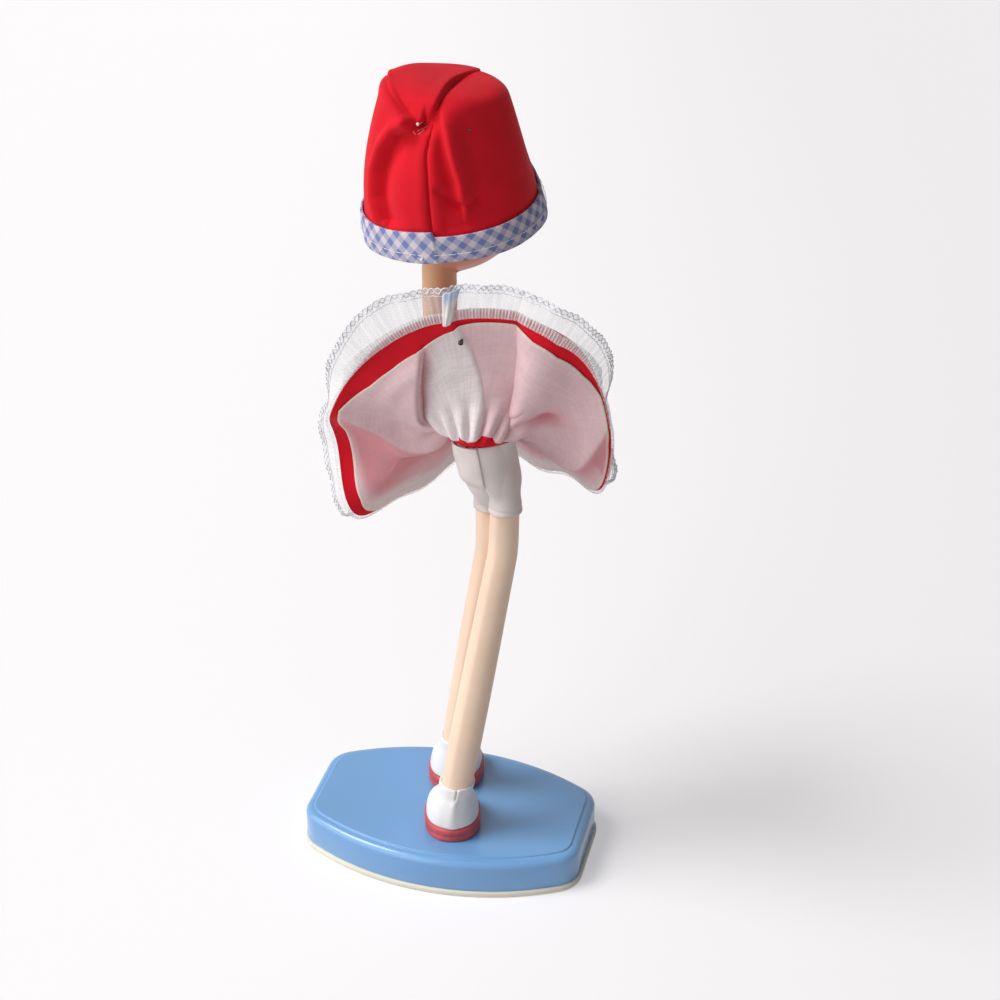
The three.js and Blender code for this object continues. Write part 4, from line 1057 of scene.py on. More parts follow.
# Where the net turns away: share of the way round, half width and angle
LACE_TURNS = [(0.205, 0.045, 1.2), (0.30, 0.05, 0.5), (0.40, 0.06, 1.2), (0.53, 0.06, 0.7), (0.66, 0.06, 0.8),
              (0.77, 0.07, 2.3)]
LACE_WIDTH, LACE_WIDER = 10.5, 4.8
# The pleated heading shows between these shares of the way round, and lies on the red side elsewhere
HEADING_FROM, HEADING_TO = -0.165, 0.165


def around_back(around):
    """Share of the way round, from -0.5 to 0.5 with 0 at the back."""
    return away(around, 0.0)


def lining_edge(around):
    """Share of the way down where the lining ends."""
    return np.interp(around_back(around), LINING_EDGE[:, 0], LINING_EDGE[:, 1])


def lace_width(around):
    """Width of the net past the hem, fuller at the upper left."""
    return LACE_WIDTH + LACE_WIDER * bell(away(around, 0.085), 0.045)


def hem_end(around):
    """Share of the way down where the cloth ends: a little short at the upper right."""
    return 1 - 0.034 * bell(away(around, -0.083), 0.04)


def lace_surface(around, past, lift=0.0):
    """Net past the hem, in millimetres: it goes on as the cloth runs and curls to the red side in places."""
    one = np.ones_like(around)
    edge = skirt_surface(around, hem_end(around), HEADING_OFF + lift)
    out = unit(ruled(around, one) - ruled(around, 0.9 * one))
    normal = normals(ruled, around, one)
    turn = sum(angle * bell(away(around, at), half) for at, half, angle in LACE_TURNS)
    turn = turn * smooth((past - 0.5) / 3)
    wave = 0.7 * np.sin(TURN * 31 * around) * smooth(past / 12)
    way = np.cos(turn)[..., None] * out + np.sin(turn)[..., None] * normal
    return edge + past[..., None] * way + wave[..., None] * normal


def pink_and_shade_share(around, down):
    """Rosy share: red behind the lining, with painted shade by the deep fold, creases and pouch, and painted
    light low left.
    """
    deep = fold_gap(around, down, DEEP_FOLD)
    lap = fold_gap(around, down, BACK_LAP)
    left_crease = fold_gap(around, down, LEFT_CREASE)
    right_crease = fold_gap(around, down, RIGHT_CREASE)
    # Red shows through all over; the centre strip right of the deep fold is whiter, ramping up slowly so that
    # painted shade lies next to the fold
    centre = smooth(-deep / 0.03) * smooth(lap / 0.006 + 0.5)
    pink = mix(0.46, 0.02, centre)
    # Painted light: paler low down on the panel below the left crease
    pink *= 1 - 0.8 * smooth((left_crease - 0.02) / 0.04) * smooth((down - 0.72) / 0.2)
    # Painted shadow of the deep fold on the strip to its right
    pink += 0.5 * np.where(deep < 0, bell(deep, 0.018), 0) * smooth((0.85 - down) / 0.2)
    # Painted shade under the creases of the side panels, where the red also lies close behind
    below = smooth(left_crease / 0.008 + 0.5) * bell(left_crease - 0.05, 0.10)
    pink += 0.8 * below * (1 - 0.8 * smooth((down - 0.74) / 0.22))
    pink += 0.5 * smooth(-right_crease / 0.008 + 0.5) * bell(right_crease + 0.05, 0.08)
    # Painted shade in the pouch at the right of the waist
    pink += 0.45 * bell(away(around, -0.167) + 0.11 * (down - 0.29), 0.026) * bell(down - 0.40, 0.17)
    return np.clip(pink, 0, 1)


class DOLL_OT_skirt(bpy.types.Operator):
    """Red skirt turned up at the back, with its sheer lining"""
    bl_idname = "doll.skirt"
    bl_label = "Skirt"

    def execute(self, context):
        look = context.scene.doll_dress
        red = cloth_paint("red_cotton_skirt", look.red, look.weave / MM)
        columns = np.linspace(0, 1, SKIRT_COLUMNS, endpoint=False)
        down, around = grid(np.linspace(0, 1, SKIRT_ROWS), columns)
        cut = (HEM_LENGTHS[-1] * MM, SKIRT_LENGTH)
        cloth = skirt_surface(around, down * hem_end(around), 0.0)
        tucked = mix(WAIST + LIFT, waist_point(columns), 0.9)
        points = np.concatenate([tucked[None], cloth])
        piece = add_piece("dress_skirt", [patch(points, wrap_cols=True, flat=cut)], red, "figure",
                          thick=SHOWN_CLOTH)
        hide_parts("skirt")

        share, around = grid(np.linspace(0, 1, SKIRT_ROWS), columns)
        scallop = 0.005 * (1 - np.cos(TURN * 26 * around))
        gape = 0.055 * bell(away(around, -0.055), 0.04) + 0.04 * bell(away(around, 0.042), 0.012)
        start = 0.015 + gape + scallop * smooth(gape / 0.03)
        down = mix(start, lining_edge(around), share)
        off = LINING_OFF * mix(0.65, 1.0, smooth(down / 0.25))
        points = skirt_surface(around, down, off[..., None])
        edge = 0.75 * smooth((share - 0.965) / 0.02)
        sheer = organdy_paint("sheer_organdy", look.organdy, look.organdy_pink_and_shade, look.organdy_edge, ORGANDY_PITCH)
        # The rosy share holds red showing through, painted shade in folds and painted light low left
        shares = {"pink": pink_and_shade_share(around, down), "edge": edge}
        cut = (HEM_LENGTHS[-1] * MM, LINING_LENGTH)
        piece = add_piece("skirt_organdy", [patch(points, wrap_cols=True, flat=cut, shares=shares)], sheer,
                          "figure", thick=SHOWN_LINING)
        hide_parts("skirt_lining")
        return {"FINISHED"}


class DOLL_OT_lace(bpy.types.Operator):
    """Clear lace inside the hem: pleated heading, net, looped border and the tab where its ends meet"""
    bl_idname = "doll.lace"
    bl_label = "Lace"

    def execute(self, context):
        look = context.scene.doll_dress
        net = net_paint("clear_net", look.lace, NET_PITCH)
        cord = thread_paint("clear_cord", look.cord, 0.2)
        columns = np.linspace(0, 1, NET_COLUMNS, endpoint=False)
        share, around = grid(np.linspace(0, 1, NET_ROWS), columns)
        points = lace_surface(around, share * lace_width(around))
        dense = 0.35 * smooth((share - 0.86) / 0.1) + 0.15 * bell(share - 0.70, 0.03)
        cut = (HEM_LENGTHS[-1] * LACE_FULLNESS * MM, LACE_WIDTH * MM)
        piece = add_piece("hem_net", [patch(points, wrap_cols=True, flat=cut, shares={"dense": dense})], net,
                          "figure")
        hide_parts("hem_lace")

        pleats = round(HEM_LENGTHS[-1] * MM / look.pleat)
        share, around = grid(np.linspace(0, 1, 8), np.linspace(0, 1, 6 * pleats, endpoint=False))
        at = around_back(around)
        shown = smooth((at - HEADING_FROM) / 0.02) * smooth((HEADING_TO - at) / 0.02)
        length = np.linalg.norm(hem_point(around) - waist_point(around), axis=-1)
        inner = np.interp(at, HEADING_EDGE[:, 0], HEADING_EDGE[:, 1])
        past = (inner - hem_end(around)) * length + share * HEADING_WIDTH * mix(0.1, 1.0, shown)
        fold = 0.32 * np.sin(TURN * pleats * around) * np.sin(math.pi * np.clip(share * 0.9 + 0.1, 0, 1))
        inside = skirt_surface(around, hem_end(around) + np.minimum(past, 0) / length, HEADING_OFF)
        points = np.where((past > 0)[..., None], lace_surface(around, np.maximum(past, 0)), inside)
        points = points - normals(ruled, around, np.ones_like(around)) * (fold + 0.25)[..., None]
        thick_net = net_paint("pleated_net", look.lace, NET_PITCH)
        dense = 0.55 + 0.45 * (fold > 0.1)
        pleated = patch(points, wrap_cols=True, flat=cut, shares={"dense": dense})
        heading = add_piece("lace_heading", [pleated], thick_net, "figure")

        loops = round(HEM_LENGTHS[-1] * 1.12 * MM / look.loop)
        around = np.linspace(0, 1, loops * 12, endpoint=False)
        swing = np.sin(math.pi * loops * around)
        width = lace_width(around)
        strands = []
        for side in (1, -1):
            path = lace_surface(around, width - 1.0 + side * 1.05 * swing, lift=-0.15 * side)
            strands.append(patch(sweep(path, LOOP_R, 6, closed=True, reference=(0.3, 1, 0.2)), True, True))
        inner = lace_surface(around, width - 3.4 + 0.35 * np.abs(swing))
        strands.append(patch(sweep(inner, INNER_CORD_R, 5, closed=True, reference=(0.3, 1, 0.2)), True, True))
        border = add_piece("lace_border", strands, cord, "figure", closed=True)
        self.add_tab()
        return {"FINISHED"}

    def add_tab(self):
        """Doubled tab: a strip down the lap, wide and bluish at the top, narrowing below."""
        down, across = grid(np.linspace(0, 1, 40), np.linspace(-1, 1, 15))
        middle = mix(0.0175, 0.026, down)
        half = mix(0.0066, 0.0035, smooth(down))
        around = middle + half * across
        past = mix(9.8, -3.8, down)
        bulge = 1.1 + 0.6 * np.cos(across * 2.2) + 0.2 * np.sin(across * 9 + 2 * down)
        above = lace_surface(around, np.maximum(past, 0.0))
        below = skirt_surface(around, 1 + np.minimum(past, 0) / 62, HEADING_OFF)
        points = np.where((past > 0)[..., None], above, below)
        points = points - normals(ruled, around, np.ones_like(around)) * bulge[..., None]
        points = points + np.array([0.0, 0.8, 0.0])
        paint = Paint("lace_tab", Roughness=0.5, Specular_IOR_Level=0.4)
        tint = paint.share("blue")
        fibre = paint.noise(900.0, 3.0)
        tone = paint.blend(tint, linear((0.93, 0.92, 0.91)), linear((0.78, 0.84, 0.94)))
        paint.set(Base_Color=tone, Normal=paint.bump(fibre, 0.5, 0.15))
        blue = smooth((0.42 - down) / 0.3)
        strip = patch(points, flat=(0.01, 0.016), shares={"blue": blue})
        piece = add_piece("lace_tab", [strip], paint.material, "figure", thick=SHOWN_TAB)
        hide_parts("lace_join")


# Head and hair

def head_radius(share):
    """Half width of the head at a share of its height."""
    ring = np.sqrt(np.maximum(0, 1 - (2 * share - 1) ** 2))
    return HEAD_HALF * ring ** np.where(share < 0.5, JAW_TAPER, 0.9)


def head_surface(angle, height, off):
    """Point on the head at an angle from the face towards the doll's left, pushed out by off."""
    share = height / HEAD_HEIGHT
    radius = np.maximum(head_radius(share), np.where(share < 0.5, HEAD_SEAT_R, 0.3)) + off
    middle = HEAD_MIDDLE * smooth(share / 0.05)[..., None]
    turn = FACE_TURN + angle
    return HEAD_AT + middle + np.stack([radius * np.sin(turn), -radius * np.cos(turn), height], -1)


def face_relief(angle, height):
    """Nose, lips, eye hollows, cheeks and chin as soft bumps on the head."""
    across = angle * HEAD_HALF
    nose = 2.4 * bell(across, 2.0) * bell(height - NOSE_UP, 2.0)
    bridge = 0.8 * bell(across, 2.2) * bell(height - NOSE_UP - 4.5, 3.5)
    lips = 0.5 * bell(across, 4.0) * bell(height - 9.6, 1.6)
    parting = 0.35 * bell(across, 3.2) * bell(height - 9.7, 0.35)
    eyes = -0.9 * (bell(across - 9.5, 4.6) + bell(across + 9.5, 4.6)) * bell(height - 20.5, 3.6)
    cheeks = 0.9 * (bell(across - 12, 6.0) + bell(across + 12, 6.0)) * bell(height - 12.5, 5.0)
    chin = 0.8 * bell(across, 5.0) * bell(height - 4.8, 2.4)
    return nose + bridge + (lips - parting) + eyes + cheeks + chin


def face_disc(angle, height, wide, high, off, bend=0.0, dome=0.0):
    """Painted disc on the face: an ellipse in the surface, bent up or down at its ends."""
    r, t = grid(np.linspace(0.02, 1, 10), np.linspace(0, TURN, 36, endpoint=False))
    x = wide * r * np.cos(t)
    up = height + high * r * np.sin(t) + bend * (x / wide) ** 2
    across = angle + x / HEAD_HALF
    return patch(head_surface(across, up, face_relief(across, up) + off + dome * (1 - r * r)), wrap_cols=True,
                 caps=FIRST_END)


class DOLL_OT_head(bpy.types.Operator):
    """Vinyl head with a plain painted face"""
    bl_idname = "doll.head"
    bl_label = "Head"

    def execute(self, context):
        look = context.scene.doll_figure
        vinyl = vinyl_paint("head_vinyl", look.head, 0.42, blush=look.blush)
        t = np.linspace(0, 1, HEAD_ROWS)
        height, angle = grid(HEAD_HEIGHT * (1 - np.cos(math.pi * t)) / 2,
                             np.linspace(-math.pi, math.pi, HEAD_COLUMNS, endpoint=False))
        points = head_surface(angle, height, face_relief(angle, height))
        across = np.abs(angle) * HEAD_HALF
        blush = 0.55 * bell(across - 14, 5.0) * bell(height - 12.5, 4.0)
        skull = patch(points, wrap_cols=True, caps=BOTH_ENDS, shares={"blush": blush})
        piece = add_piece("vinyl_head", [skull], vinyl, "head", closed=True)
        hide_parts("head")
        eye_white = gloss_paint("eye_white", (0.95, 0.95, 0.93), 0.3, 0.01)
        brown = gloss_paint("eye_brown", (0.28, 0.17, 0.10), 0.25, 0.01)
        black = gloss_paint("lash_black", (0.07, 0.05, 0.05), 0.35, 0.01)
        rose = gloss_paint("lip_rose", (0.80, 0.27, 0.28), 0.4, 0.01)
        whites, irises, lines = [], [], []
        for side in (-1, 1):
            at = side * EYE_OUT / HEAD_HALF
            whites.append(face_disc(at, 20.5, 4.3, 2.7, 0.12, dome=0.25))
            irises.append(face_disc(at, 20.4, 2.0, 2.3, 0.3, dome=0.2))
            lines.append(face_disc(at, 20.4, 1.0, 1.2, 0.5, dome=0.1))
            lines.append(face_disc(at, 22.9, 4.8, 0.5, 0.25, bend=-1.1, dome=0.2))
        glints = [face_disc(side * EYE_OUT / HEAD_HALF - 0.025, 21.3, 0.5, 0.5, 0.66) for side in (-1, 1)]
        lips = [face_disc(0, 10.15, 2.9, 0.5, 0.15, bend=0.35, dome=0.15),
                face_disc(0, 9.1, 2.4, 0.6, 0.15, bend=0.5, dome=0.2)]
        brows = [face_disc(side * BROW_OUT / HEAD_HALF, 26.2, 4.2, 0.4, 0.12, bend=-1.2, dome=0.15)
                 for side in (-1, 1)]
        paints = (("face_eye_whites", whites, eye_white), ("face_irises", irises, brown),
                  ("face_lashes", lines, black), ("face_glints", glints, eye_white),
                  ("face_lips", lips, rose), ("face_brows", brows, brown))
        for name, discs, material in paints:
            add_piece(name, discs, material, "head")
        return {"FINISHED"}


class DOLL_OT_hair(bpy.types.Operator):
    """Fringe of brown locks below the hat, made of fine curved strands"""
    bl_idname = "doll.hair"
    bl_label = "Hair"

    def execute(self, context):
        paint = Paint("brown_hair", Roughness=0.45, Specular_IOR_Level=0.5)
        streak = paint.noise(1400.0, 2.0)
        color = context.scene.doll_figure.hair
        paint.set(Base_Color=paint.blend(streak.ramp(0.3, 0.7), shade(color, 0.6), shade(color, 1.5)))
        paint.set(Normal=paint.bump(streak, 0.5, 0.2))
        random = np.random.default_rng(7)
        locks = []
        for angle in np.linspace(-0.85, 0.85, 44):
            t = np.linspace(0, 1, 14)
            lean = 0.1 * math.sin(angle * 3) + random.uniform(-0.03, 0.03)
            low = 26.0 + random.uniform(-1.2, 1.6) - 3.5 * smooth((abs(angle) - 0.45) / 0.4)
            height = mix(34.5, low, t)
            off = FIT + 0.5 + 0.5 * np.sin(math.pi * t) + random.uniform(0, 0.4)
            path = head_surface(angle + lean * t, height, off)
            radius = 0.62 * (1 - 0.9 * smooth((t - 0.35) / 0.65)) * random.uniform(0.8, 1.2)
            locks.append(capped(sweep(path, radius, 8, reference=(0, 1, 0.3), flat=0.6)))
        piece = add_piece("hair_locks", locks, paint.material, "head", closed=True)
        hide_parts("hair_fringe")
        return {"FINISHED"}


# Hat

def rim_height(angle):
    """Rim slopes down to the doll's left and back, and is raised over the face."""
    front = smooth((-np.cos(angle) - 0.2) / 0.8)
    slope = -HAT_ROLL * HAT_RIM_R * np.sin(angle) - HAT_TIP * HAT_RIM_R * np.cos(angle)
    return slope + HAT_FRONT_LIFT * front


def hat_side(angle, up, off):
    """Tapering bag: angle from the back to the doll's left, up from the rim at 0 to the top edge at 1."""
    radius = mix(HAT_RIM_R, HAT_TOP_R, np.maximum(up, 0) ** HAT_BELLY) + off
    middle = mix(HAT_RIM, HAT_TOP, up[..., None])
    x = middle[..., 0] + HAT_BOW * np.sin(math.pi * up) + radius * np.sin(angle)
    y = middle[..., 1] + radius * np.cos(angle)
    z = middle[..., 2] + rim_height(angle) * (1 - up) + HAT_TOP_ROLL * HAT_TOP_R * np.sin(angle) * up
    return HEAD_AT + np.stack([x, y, z], -1)


def hat_top(angle, share, off):
    """Low dome over the top edge; share goes from 1 at the edge to 0 in the middle."""
    edge = hat_side(angle, np.ones_like(angle), off) - HEAD_AT
    dome = (HAT_DOME + off) * np.sqrt(np.maximum(0, 1 - share * share))
    x = mix(HAT_TOP[0], edge[..., 0], share)
    y = mix(HAT_TOP[1], edge[..., 1], share)
    z = mix(HAT_TOP[2], edge[..., 2], share) + dome
    return HEAD_AT + np.stack([x, y, z], -1)


# Creases of the crown as (angle, up): a drape that curves from the tack, a pleat and the crease that ends it
DRAPE = [(0.16, 0.86), (0.24, 0.81), (0.41, 0.77), (0.55, 0.67), (0.64, 0.53), (0.65, 0.38), (0.56, 0.25)]
PLEAT = [(-0.24, 0.97), (-0.31, 0.86), (-0.38, 0.68), (-0.45, 0.52), (-0.46, 0.40)]
PLEAT_END = [(-0.20, 0.46), (-0.32, 0.40), (-0.44, 0.375), (-0.58, 0.37), (-0.66, 0.385)]
# Bow of the flap's edge, and the girth for one radian and the height of the crown laid flat, in millimetres
FLAP_BEND, CROWN_REACH, CROWN_HEIGHT = 4.0, 29.0, 55.0


def side_gap(angle, up, line):
    """Distance on the crown's side to a crease line, in millimetres; positive to the left of its run."""
    flat = [(a * CROWN_REACH, u * CROWN_HEIGHT) for a, u in line]
    return line_gap(wrapped(angle) * CROWN_REACH, up * CROWN_HEIGHT, flat)


def crown_creases(angle, up):
    """Height of the creases on the side of the crown."""
    above = smooth((up - BAND_TOP) / 0.06)
    below_top = 1 - smooth((up - 0.9) / 0.1)
    drape = side_gap(angle, up, DRAPE)
    height = 2.4 * bell(drape - 3.4, 2.4) - 3.2 * bell(drape + 0.8, np.where(drape > -0.8, 1.9, 6.5))
    pleat = side_gap(angle, up, PLEAT)
    behind = 2.5 * bell(pleat, 5.0)
    before = 2.5 * bell(pleat, 0.8) - 1.3 * bell(pleat - 3, 2.4)
    height = height + np.where(pleat < 0, behind, before)
    height = height - 1.3 * bell(side_gap(angle, up, PLEAT_END), 1.9)
    seam_at = np.interp(up, [0, 0.2, 0.5, 0.7, 0.85], [-0.10, -0.075, -0.08, -0.06, -0.11])
    seam = wrapped(angle - seam_at) * CROWN_REACH
    open_up = smooth((0.9 - up) / 0.06)
    height = height - 1.2 * bell(seam, 0.5) * open_up + 0.5 * bell(np.abs(seam) - 2.5, 2.0) * open_up
    broad = 0.8 * np.sin(3 * angle + 0.6) * np.sin(math.pi * up) + 0.4 * np.sin(5 * angle + 4 * up)
    return (height * below_top + broad) * above


def flap_height(points):
    """Top folded down to the back: a rolled slanted edge over a valley, and a softer one at its left."""
    tack = hat_side(np.array(0.02), np.array(0.82), CLOTH)
    over = hat_top(np.array(-0.42), np.array(0.80), CLOTH)
    far = hat_top(np.array(-2.65), np.array(0.85), CLOTH)
    left_side = hat_side(np.array(0.50), np.array(0.96), CLOTH)
    left_top = hat_top(np.array(1.45), np.array(0.92), CLOTH)
    fold = unit(np.cross(over - tack, far - tack))
    fold = fold * np.sign(np.dot(left_side - tack, fold))
    crease = unit(np.cross(left_side - tack, left_top - tack))
    crease = crease * np.sign(np.dot(over - tack, crease))
    run = np.clip((points - tack) @ (far - tack) / np.dot(far - tack, far - tack), 0, 1)
    right_gap = (points - tack) @ fold - FLAP_BEND * 4 * run * (1 - run)
    left_gap = (points - tack) @ crease
    high = smooth((points[..., 2] - tack[2] + 3) / 5)
    inside = smooth(left_gap / 3.0 + 0.5)
    edge = smooth(right_gap / 0.9 + 0.5)
    fade = 1 - 0.75 * smooth((run - 0.5) / 0.5)
    roll = 0.9 * bell(right_gap, 3.5) * edge
    under = -2.6 * np.exp(-np.maximum(-right_gap, 0) / 3.6) * (1 - edge)
    far_off = np.linalg.norm(points - tack, axis=-1)
    near = 0.35 + 0.65 * bell(far_off, 22.0)
    valley = 1.7 * bell(left_gap + 2.5, 2.4) - 3.8 * bell(left_gap - 1.6, np.where(left_gap < 1.6, 2.2, 5.0))
    corner = 2.2 * smooth(left_gap / 0.8 + 0.5) * bell(left_gap, 8.0) * (1 - bell(far_off, 24.0))
    return ((roll + under) * inside * fade + (valley * near + corner) * edge) * high


def round_edge(points, row, half=7.0, rounds=40):
    """Rows near a hard edge drawn to the mean of their two neighbours, again and again, which rounds it."""
    pull = 0.5 * bell(np.arange(len(points)) - row, half)[1:-1, None, None]
    points = points.copy()
    for _ in range(rounds):
        points[1:-1] += pull * ((points[:-2] + points[2:]) / 2 - points[1:-1])
    return points


class DOLL_OT_hat(bpy.types.Operator):
    """Red bag hat with its top folded down, and a gingham band"""
    bl_idname = "doll.hat"
    bl_label = "Hat"

    def execute(self, context):
        dress, look = context.scene.doll_dress, context.scene.doll_hat
        red = cloth_paint("red_cotton_hat", dress.red, dress.weave / MM)
        columns = np.linspace(-math.pi, math.pi, HAT_COLUMNS, endpoint=False)
        up, angle = grid(np.linspace(0.05, 1, HAT_ROWS), columns)
        side = hat_side(angle, up, CLOTH / 2 + crown_creases(angle, up))
        share, angle = grid(np.linspace(1, 0.01, HAT_TOP_ROWS)[1:], columns)
        top = hat_top(angle, share, CLOTH / 2 + crown_creases(angle, np.ones_like(angle)) * share**3)
        points = round_edge(np.concatenate([side, top]), len(side))
        out = unit(points - (HEAD_AT + mix(HAT_RIM, HAT_TOP, 0.6)))
        points = points + out * flap_height(points)[..., None]
        bag = patch(points, wrap_cols=True, caps=LAST_END, flat=HAT_FLAT)
        piece = add_piece("hat_bag", [bag], red, "head", thick=SHOWN_CLOTH)
        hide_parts("hat_crown")
        self.add_band(look)
        self.add_threads(look)
        return {"FINISHED"}

    def add_band(self, look):
        """Binding folded over the rim: a flat oval section carried round the hat."""
        columns = np.linspace(-math.pi, math.pi, BAND_COLUMNS, endpoint=False)
        inner = CLOTH + FIT
        t = np.linspace(0, TURN, BAND_ROWS, endpoint=False)
        height = 0.5 - 0.5 * np.sign(np.cos(t)) * np.abs(np.cos(t)) ** 0.25
        out = inner + BAND_THICK * (0.5 + 0.5 * np.sign(np.sin(t)) * np.abs(np.sin(t)) ** 0.3)
        steps = np.hypot(np.diff(height, append=height[0]) * BAND_WIDTH, np.diff(out, append=out[0]))
        rows_at = np.concatenate([[0], np.cumsum(steps)]) * MM
        seam = wrapped(columns + 0.095)
        taller = 1 + 0.16 * smooth(seam / 0.02) * bell(seam, 0.6)
        lap = 0.45 * np.where(seam > 0, bell(seam, 0.25), 0) + 0.25 * np.sin(columns * 7 + 1.0)
        angle = np.broadcast_to(columns, (len(t), len(columns)))
        drawn = 0.13 * bell(columns + 0.15, 0.8)
        rise = drawn + (taller - drawn) * height[:, None]
        points = hat_side(angle, rise * BAND_TOP, out[:, None] + lap * (out[:, None] > inner + 0.6))
        cut = (0.205, 2 * BAND_WIDTH * MM)
        check = gingham_paint("gingham_binding", look.check_white, look.check_blue, look.check / MM)
        binding = patch(points, wrap_rows=True, wrap_cols=True, flat=cut, rows_at=rows_at)
        piece = add_piece("hat_binding", [binding], check, "head", closed=True)
        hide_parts("hat_band")

    def add_threads(self, look):
        """Running stitches round the band and the loose stitches at the tack, as thin tubes."""
        white = thread_paint("white_thread", (0.93, 0.93, 0.94))
        face = CLOTH + FIT + BAND_THICK
        count = int(TURN * (HAT_RIM_R + face) / (look.stitch / MM * 1.35))
        t = np.linspace(0, 1, 7)
        stitches = []
        for start in np.arange(count) / count * TURN - math.pi:
            angle = start + t * TURN / count * 0.86
            path = hat_side(angle, np.full(7, 0.08), face + 0.3 + 0.22 * np.sin(math.pi * t))
            stitches.append(capped(sweep(path, STITCH_R, 5)))
        add_piece("band_stitches", stitches, white, "head", closed=True)
        tacks = [(0.13, 0.815, 0.0, 0.845), (0.10, 0.80, 0.02, 0.83), (0.19, 0.815, 0.14, 0.795)]
        loose = []
        for a0, u0, a1, u1 in tacks:
            angle, up = mix(a0, a1, t), mix(u0, u1, t)
            base = hat_side(angle, up, CLOTH + crown_creases(angle, up))
            out = unit(base - (HEAD_AT + mix(HAT_RIM, HAT_TOP, 0.8)))
            path = base + out * (flap_height(base) + 0.1 + 0.25 * np.sin(math.pi * t))[:, None]
            loose.append(capped(sweep(path, TACK_R, 5, reference=(1, 0.2, 0.1))))
        add_piece("tack_stitches", loose, white, "head", closed=True)


# Arms

def arm_frame(side):
    """Shoulder point and middle line of an arm; side is 1 for the left."""
    node = "left_arm" if side > 0 else "right_arm"
    joint = next(j for j in frame["record"]["behaviour"]["joints"] if j["child"] == node)
    shoulder = np.array(joint["pos_m"]) / MM
    flip = np.array([side, 1, 1])
    t = np.linspace(0, 1, 400)
    bend = np.array([np.zeros(3), ELBOW * flip, HAND * flip])
    line = catmull(bend, t)
    length = np.concatenate([[0], np.cumsum(np.linalg.norm(np.diff(line, axis=0), axis=1))])
    even = np.interp(np.linspace(0, 1, 110) * length[-1], length, t)
    return shoulder, catmull(bend, even)


class DOLL_OT_arms(bpy.types.Operator):
    """Slim vinyl arms with mitten hands"""
    bl_idname = "doll.arms"
    bl_label = "Arms"

    def execute(self, context):
        skin = vinyl_paint("arm_vinyl", context.scene.doll_figure.leg, 0.48)
        for side, name in ((1, "left_arm"), (-1, "right_arm")):
            shoulder, line = arm_frame(side)
            share = np.linspace(0, 1, len(line))
            limb = mix(ARM_R, WRIST_R, smooth(share / WRIST_AT))
            hand = mix(WRIST_R, HAND_R, smooth((share - WRIST_AT) / (FINGERS_AT - WRIST_AT)))
            past = np.maximum(0, (share - FINGERS_AT) / (1 - FINGERS_AT))
            radius = np.where(share < WRIST_AT, limb, hand) * np.sqrt(np.maximum(0.004, 1 - past**2))
            flat = mix(1.0, HAND_FLAT - 0.12, smooth((share - WRIST_AT) / 0.06))
            tube = sweep(line, radius, 48, reference=(side, 0, 0), flat=flat)
            t = np.linspace(0, TURN, 48, endpoint=False)
            groove = sum(bell(np.cos(t) - at, 0.12) for at in (-0.5, 0.0, 0.5)) * np.abs(np.sin(t))
            groove = groove[None] * smooth((share - 0.915) / 0.03)[:, None]
            tube = line[:, None] + (tube - line[:, None]) * (1 - 0.16 * groove)[..., None]
            thumb_from = line[int(0.86 * len(line))]
            thumb_to = thumb_from + np.array([-side * 3.6, -4.2, 0.9])
            s = np.linspace(0, 1, 16)
            slim = 1.15 * np.sqrt(np.maximum(0.02, 1 - s**4))
            thumb = sweep(mix(thumb_from, thumb_to, s[:, None]), slim, 16)
            a, b = grid(np.linspace(-1.57, 1.57, 18), np.linspace(0, TURN, 40, endpoint=False))
            ball = ARM_R * np.stack([np.cos(a) * np.cos(b), np.cos(a) * np.sin(b), np.sin(a)], -1)
            reach = np.array([0, -side * 3.0, -side * 7.0])
            peg_line = reach[:, None] * np.array([1, 0, 0])
            peg = sweep(peg_line, np.array([3.4, 2.9, 2.0]), 24, reference=(0, 0, 1))
            parts = [capped(x + shoulder) for x in (tube, thumb, ball, peg)]
            piece = add_piece(f"{name}_skin", parts, skin, name, closed=True)
            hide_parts(name)
        return {"FINISHED"}


# Pins

def pin_patch(head, outward, ball):
    """Ball-headed pin: its profile turned about the outward direction, with the head's underside at head."""
    a = np.linspace(-1.2, math.pi / 2 - 0.02, 14)
    shaft = min(PIN_R, 0.6 * ball)
    radius = np.concatenate([[0.03, shaft, shaft], ball * np.cos(a)])
    along = np.concatenate([[-PIN_LENGTH, -PIN_LENGTH + 2, 0.0], ball * (1 + np.sin(a))])
    outward = unit(np.asarray(outward, float))
    path = np.asarray(head) + along[:, None] * outward
    side = unit(np.cross(outward, np.array([0.2, 0.1, 1.0])))
    up = np.cross(outward, side)
    t = np.linspace(0, TURN, 24, endpoint=False)[None, :, None]
    return capped(path[:, None] + radius[:, None, None] * (np.cos(t) * side + np.sin(t) * up))


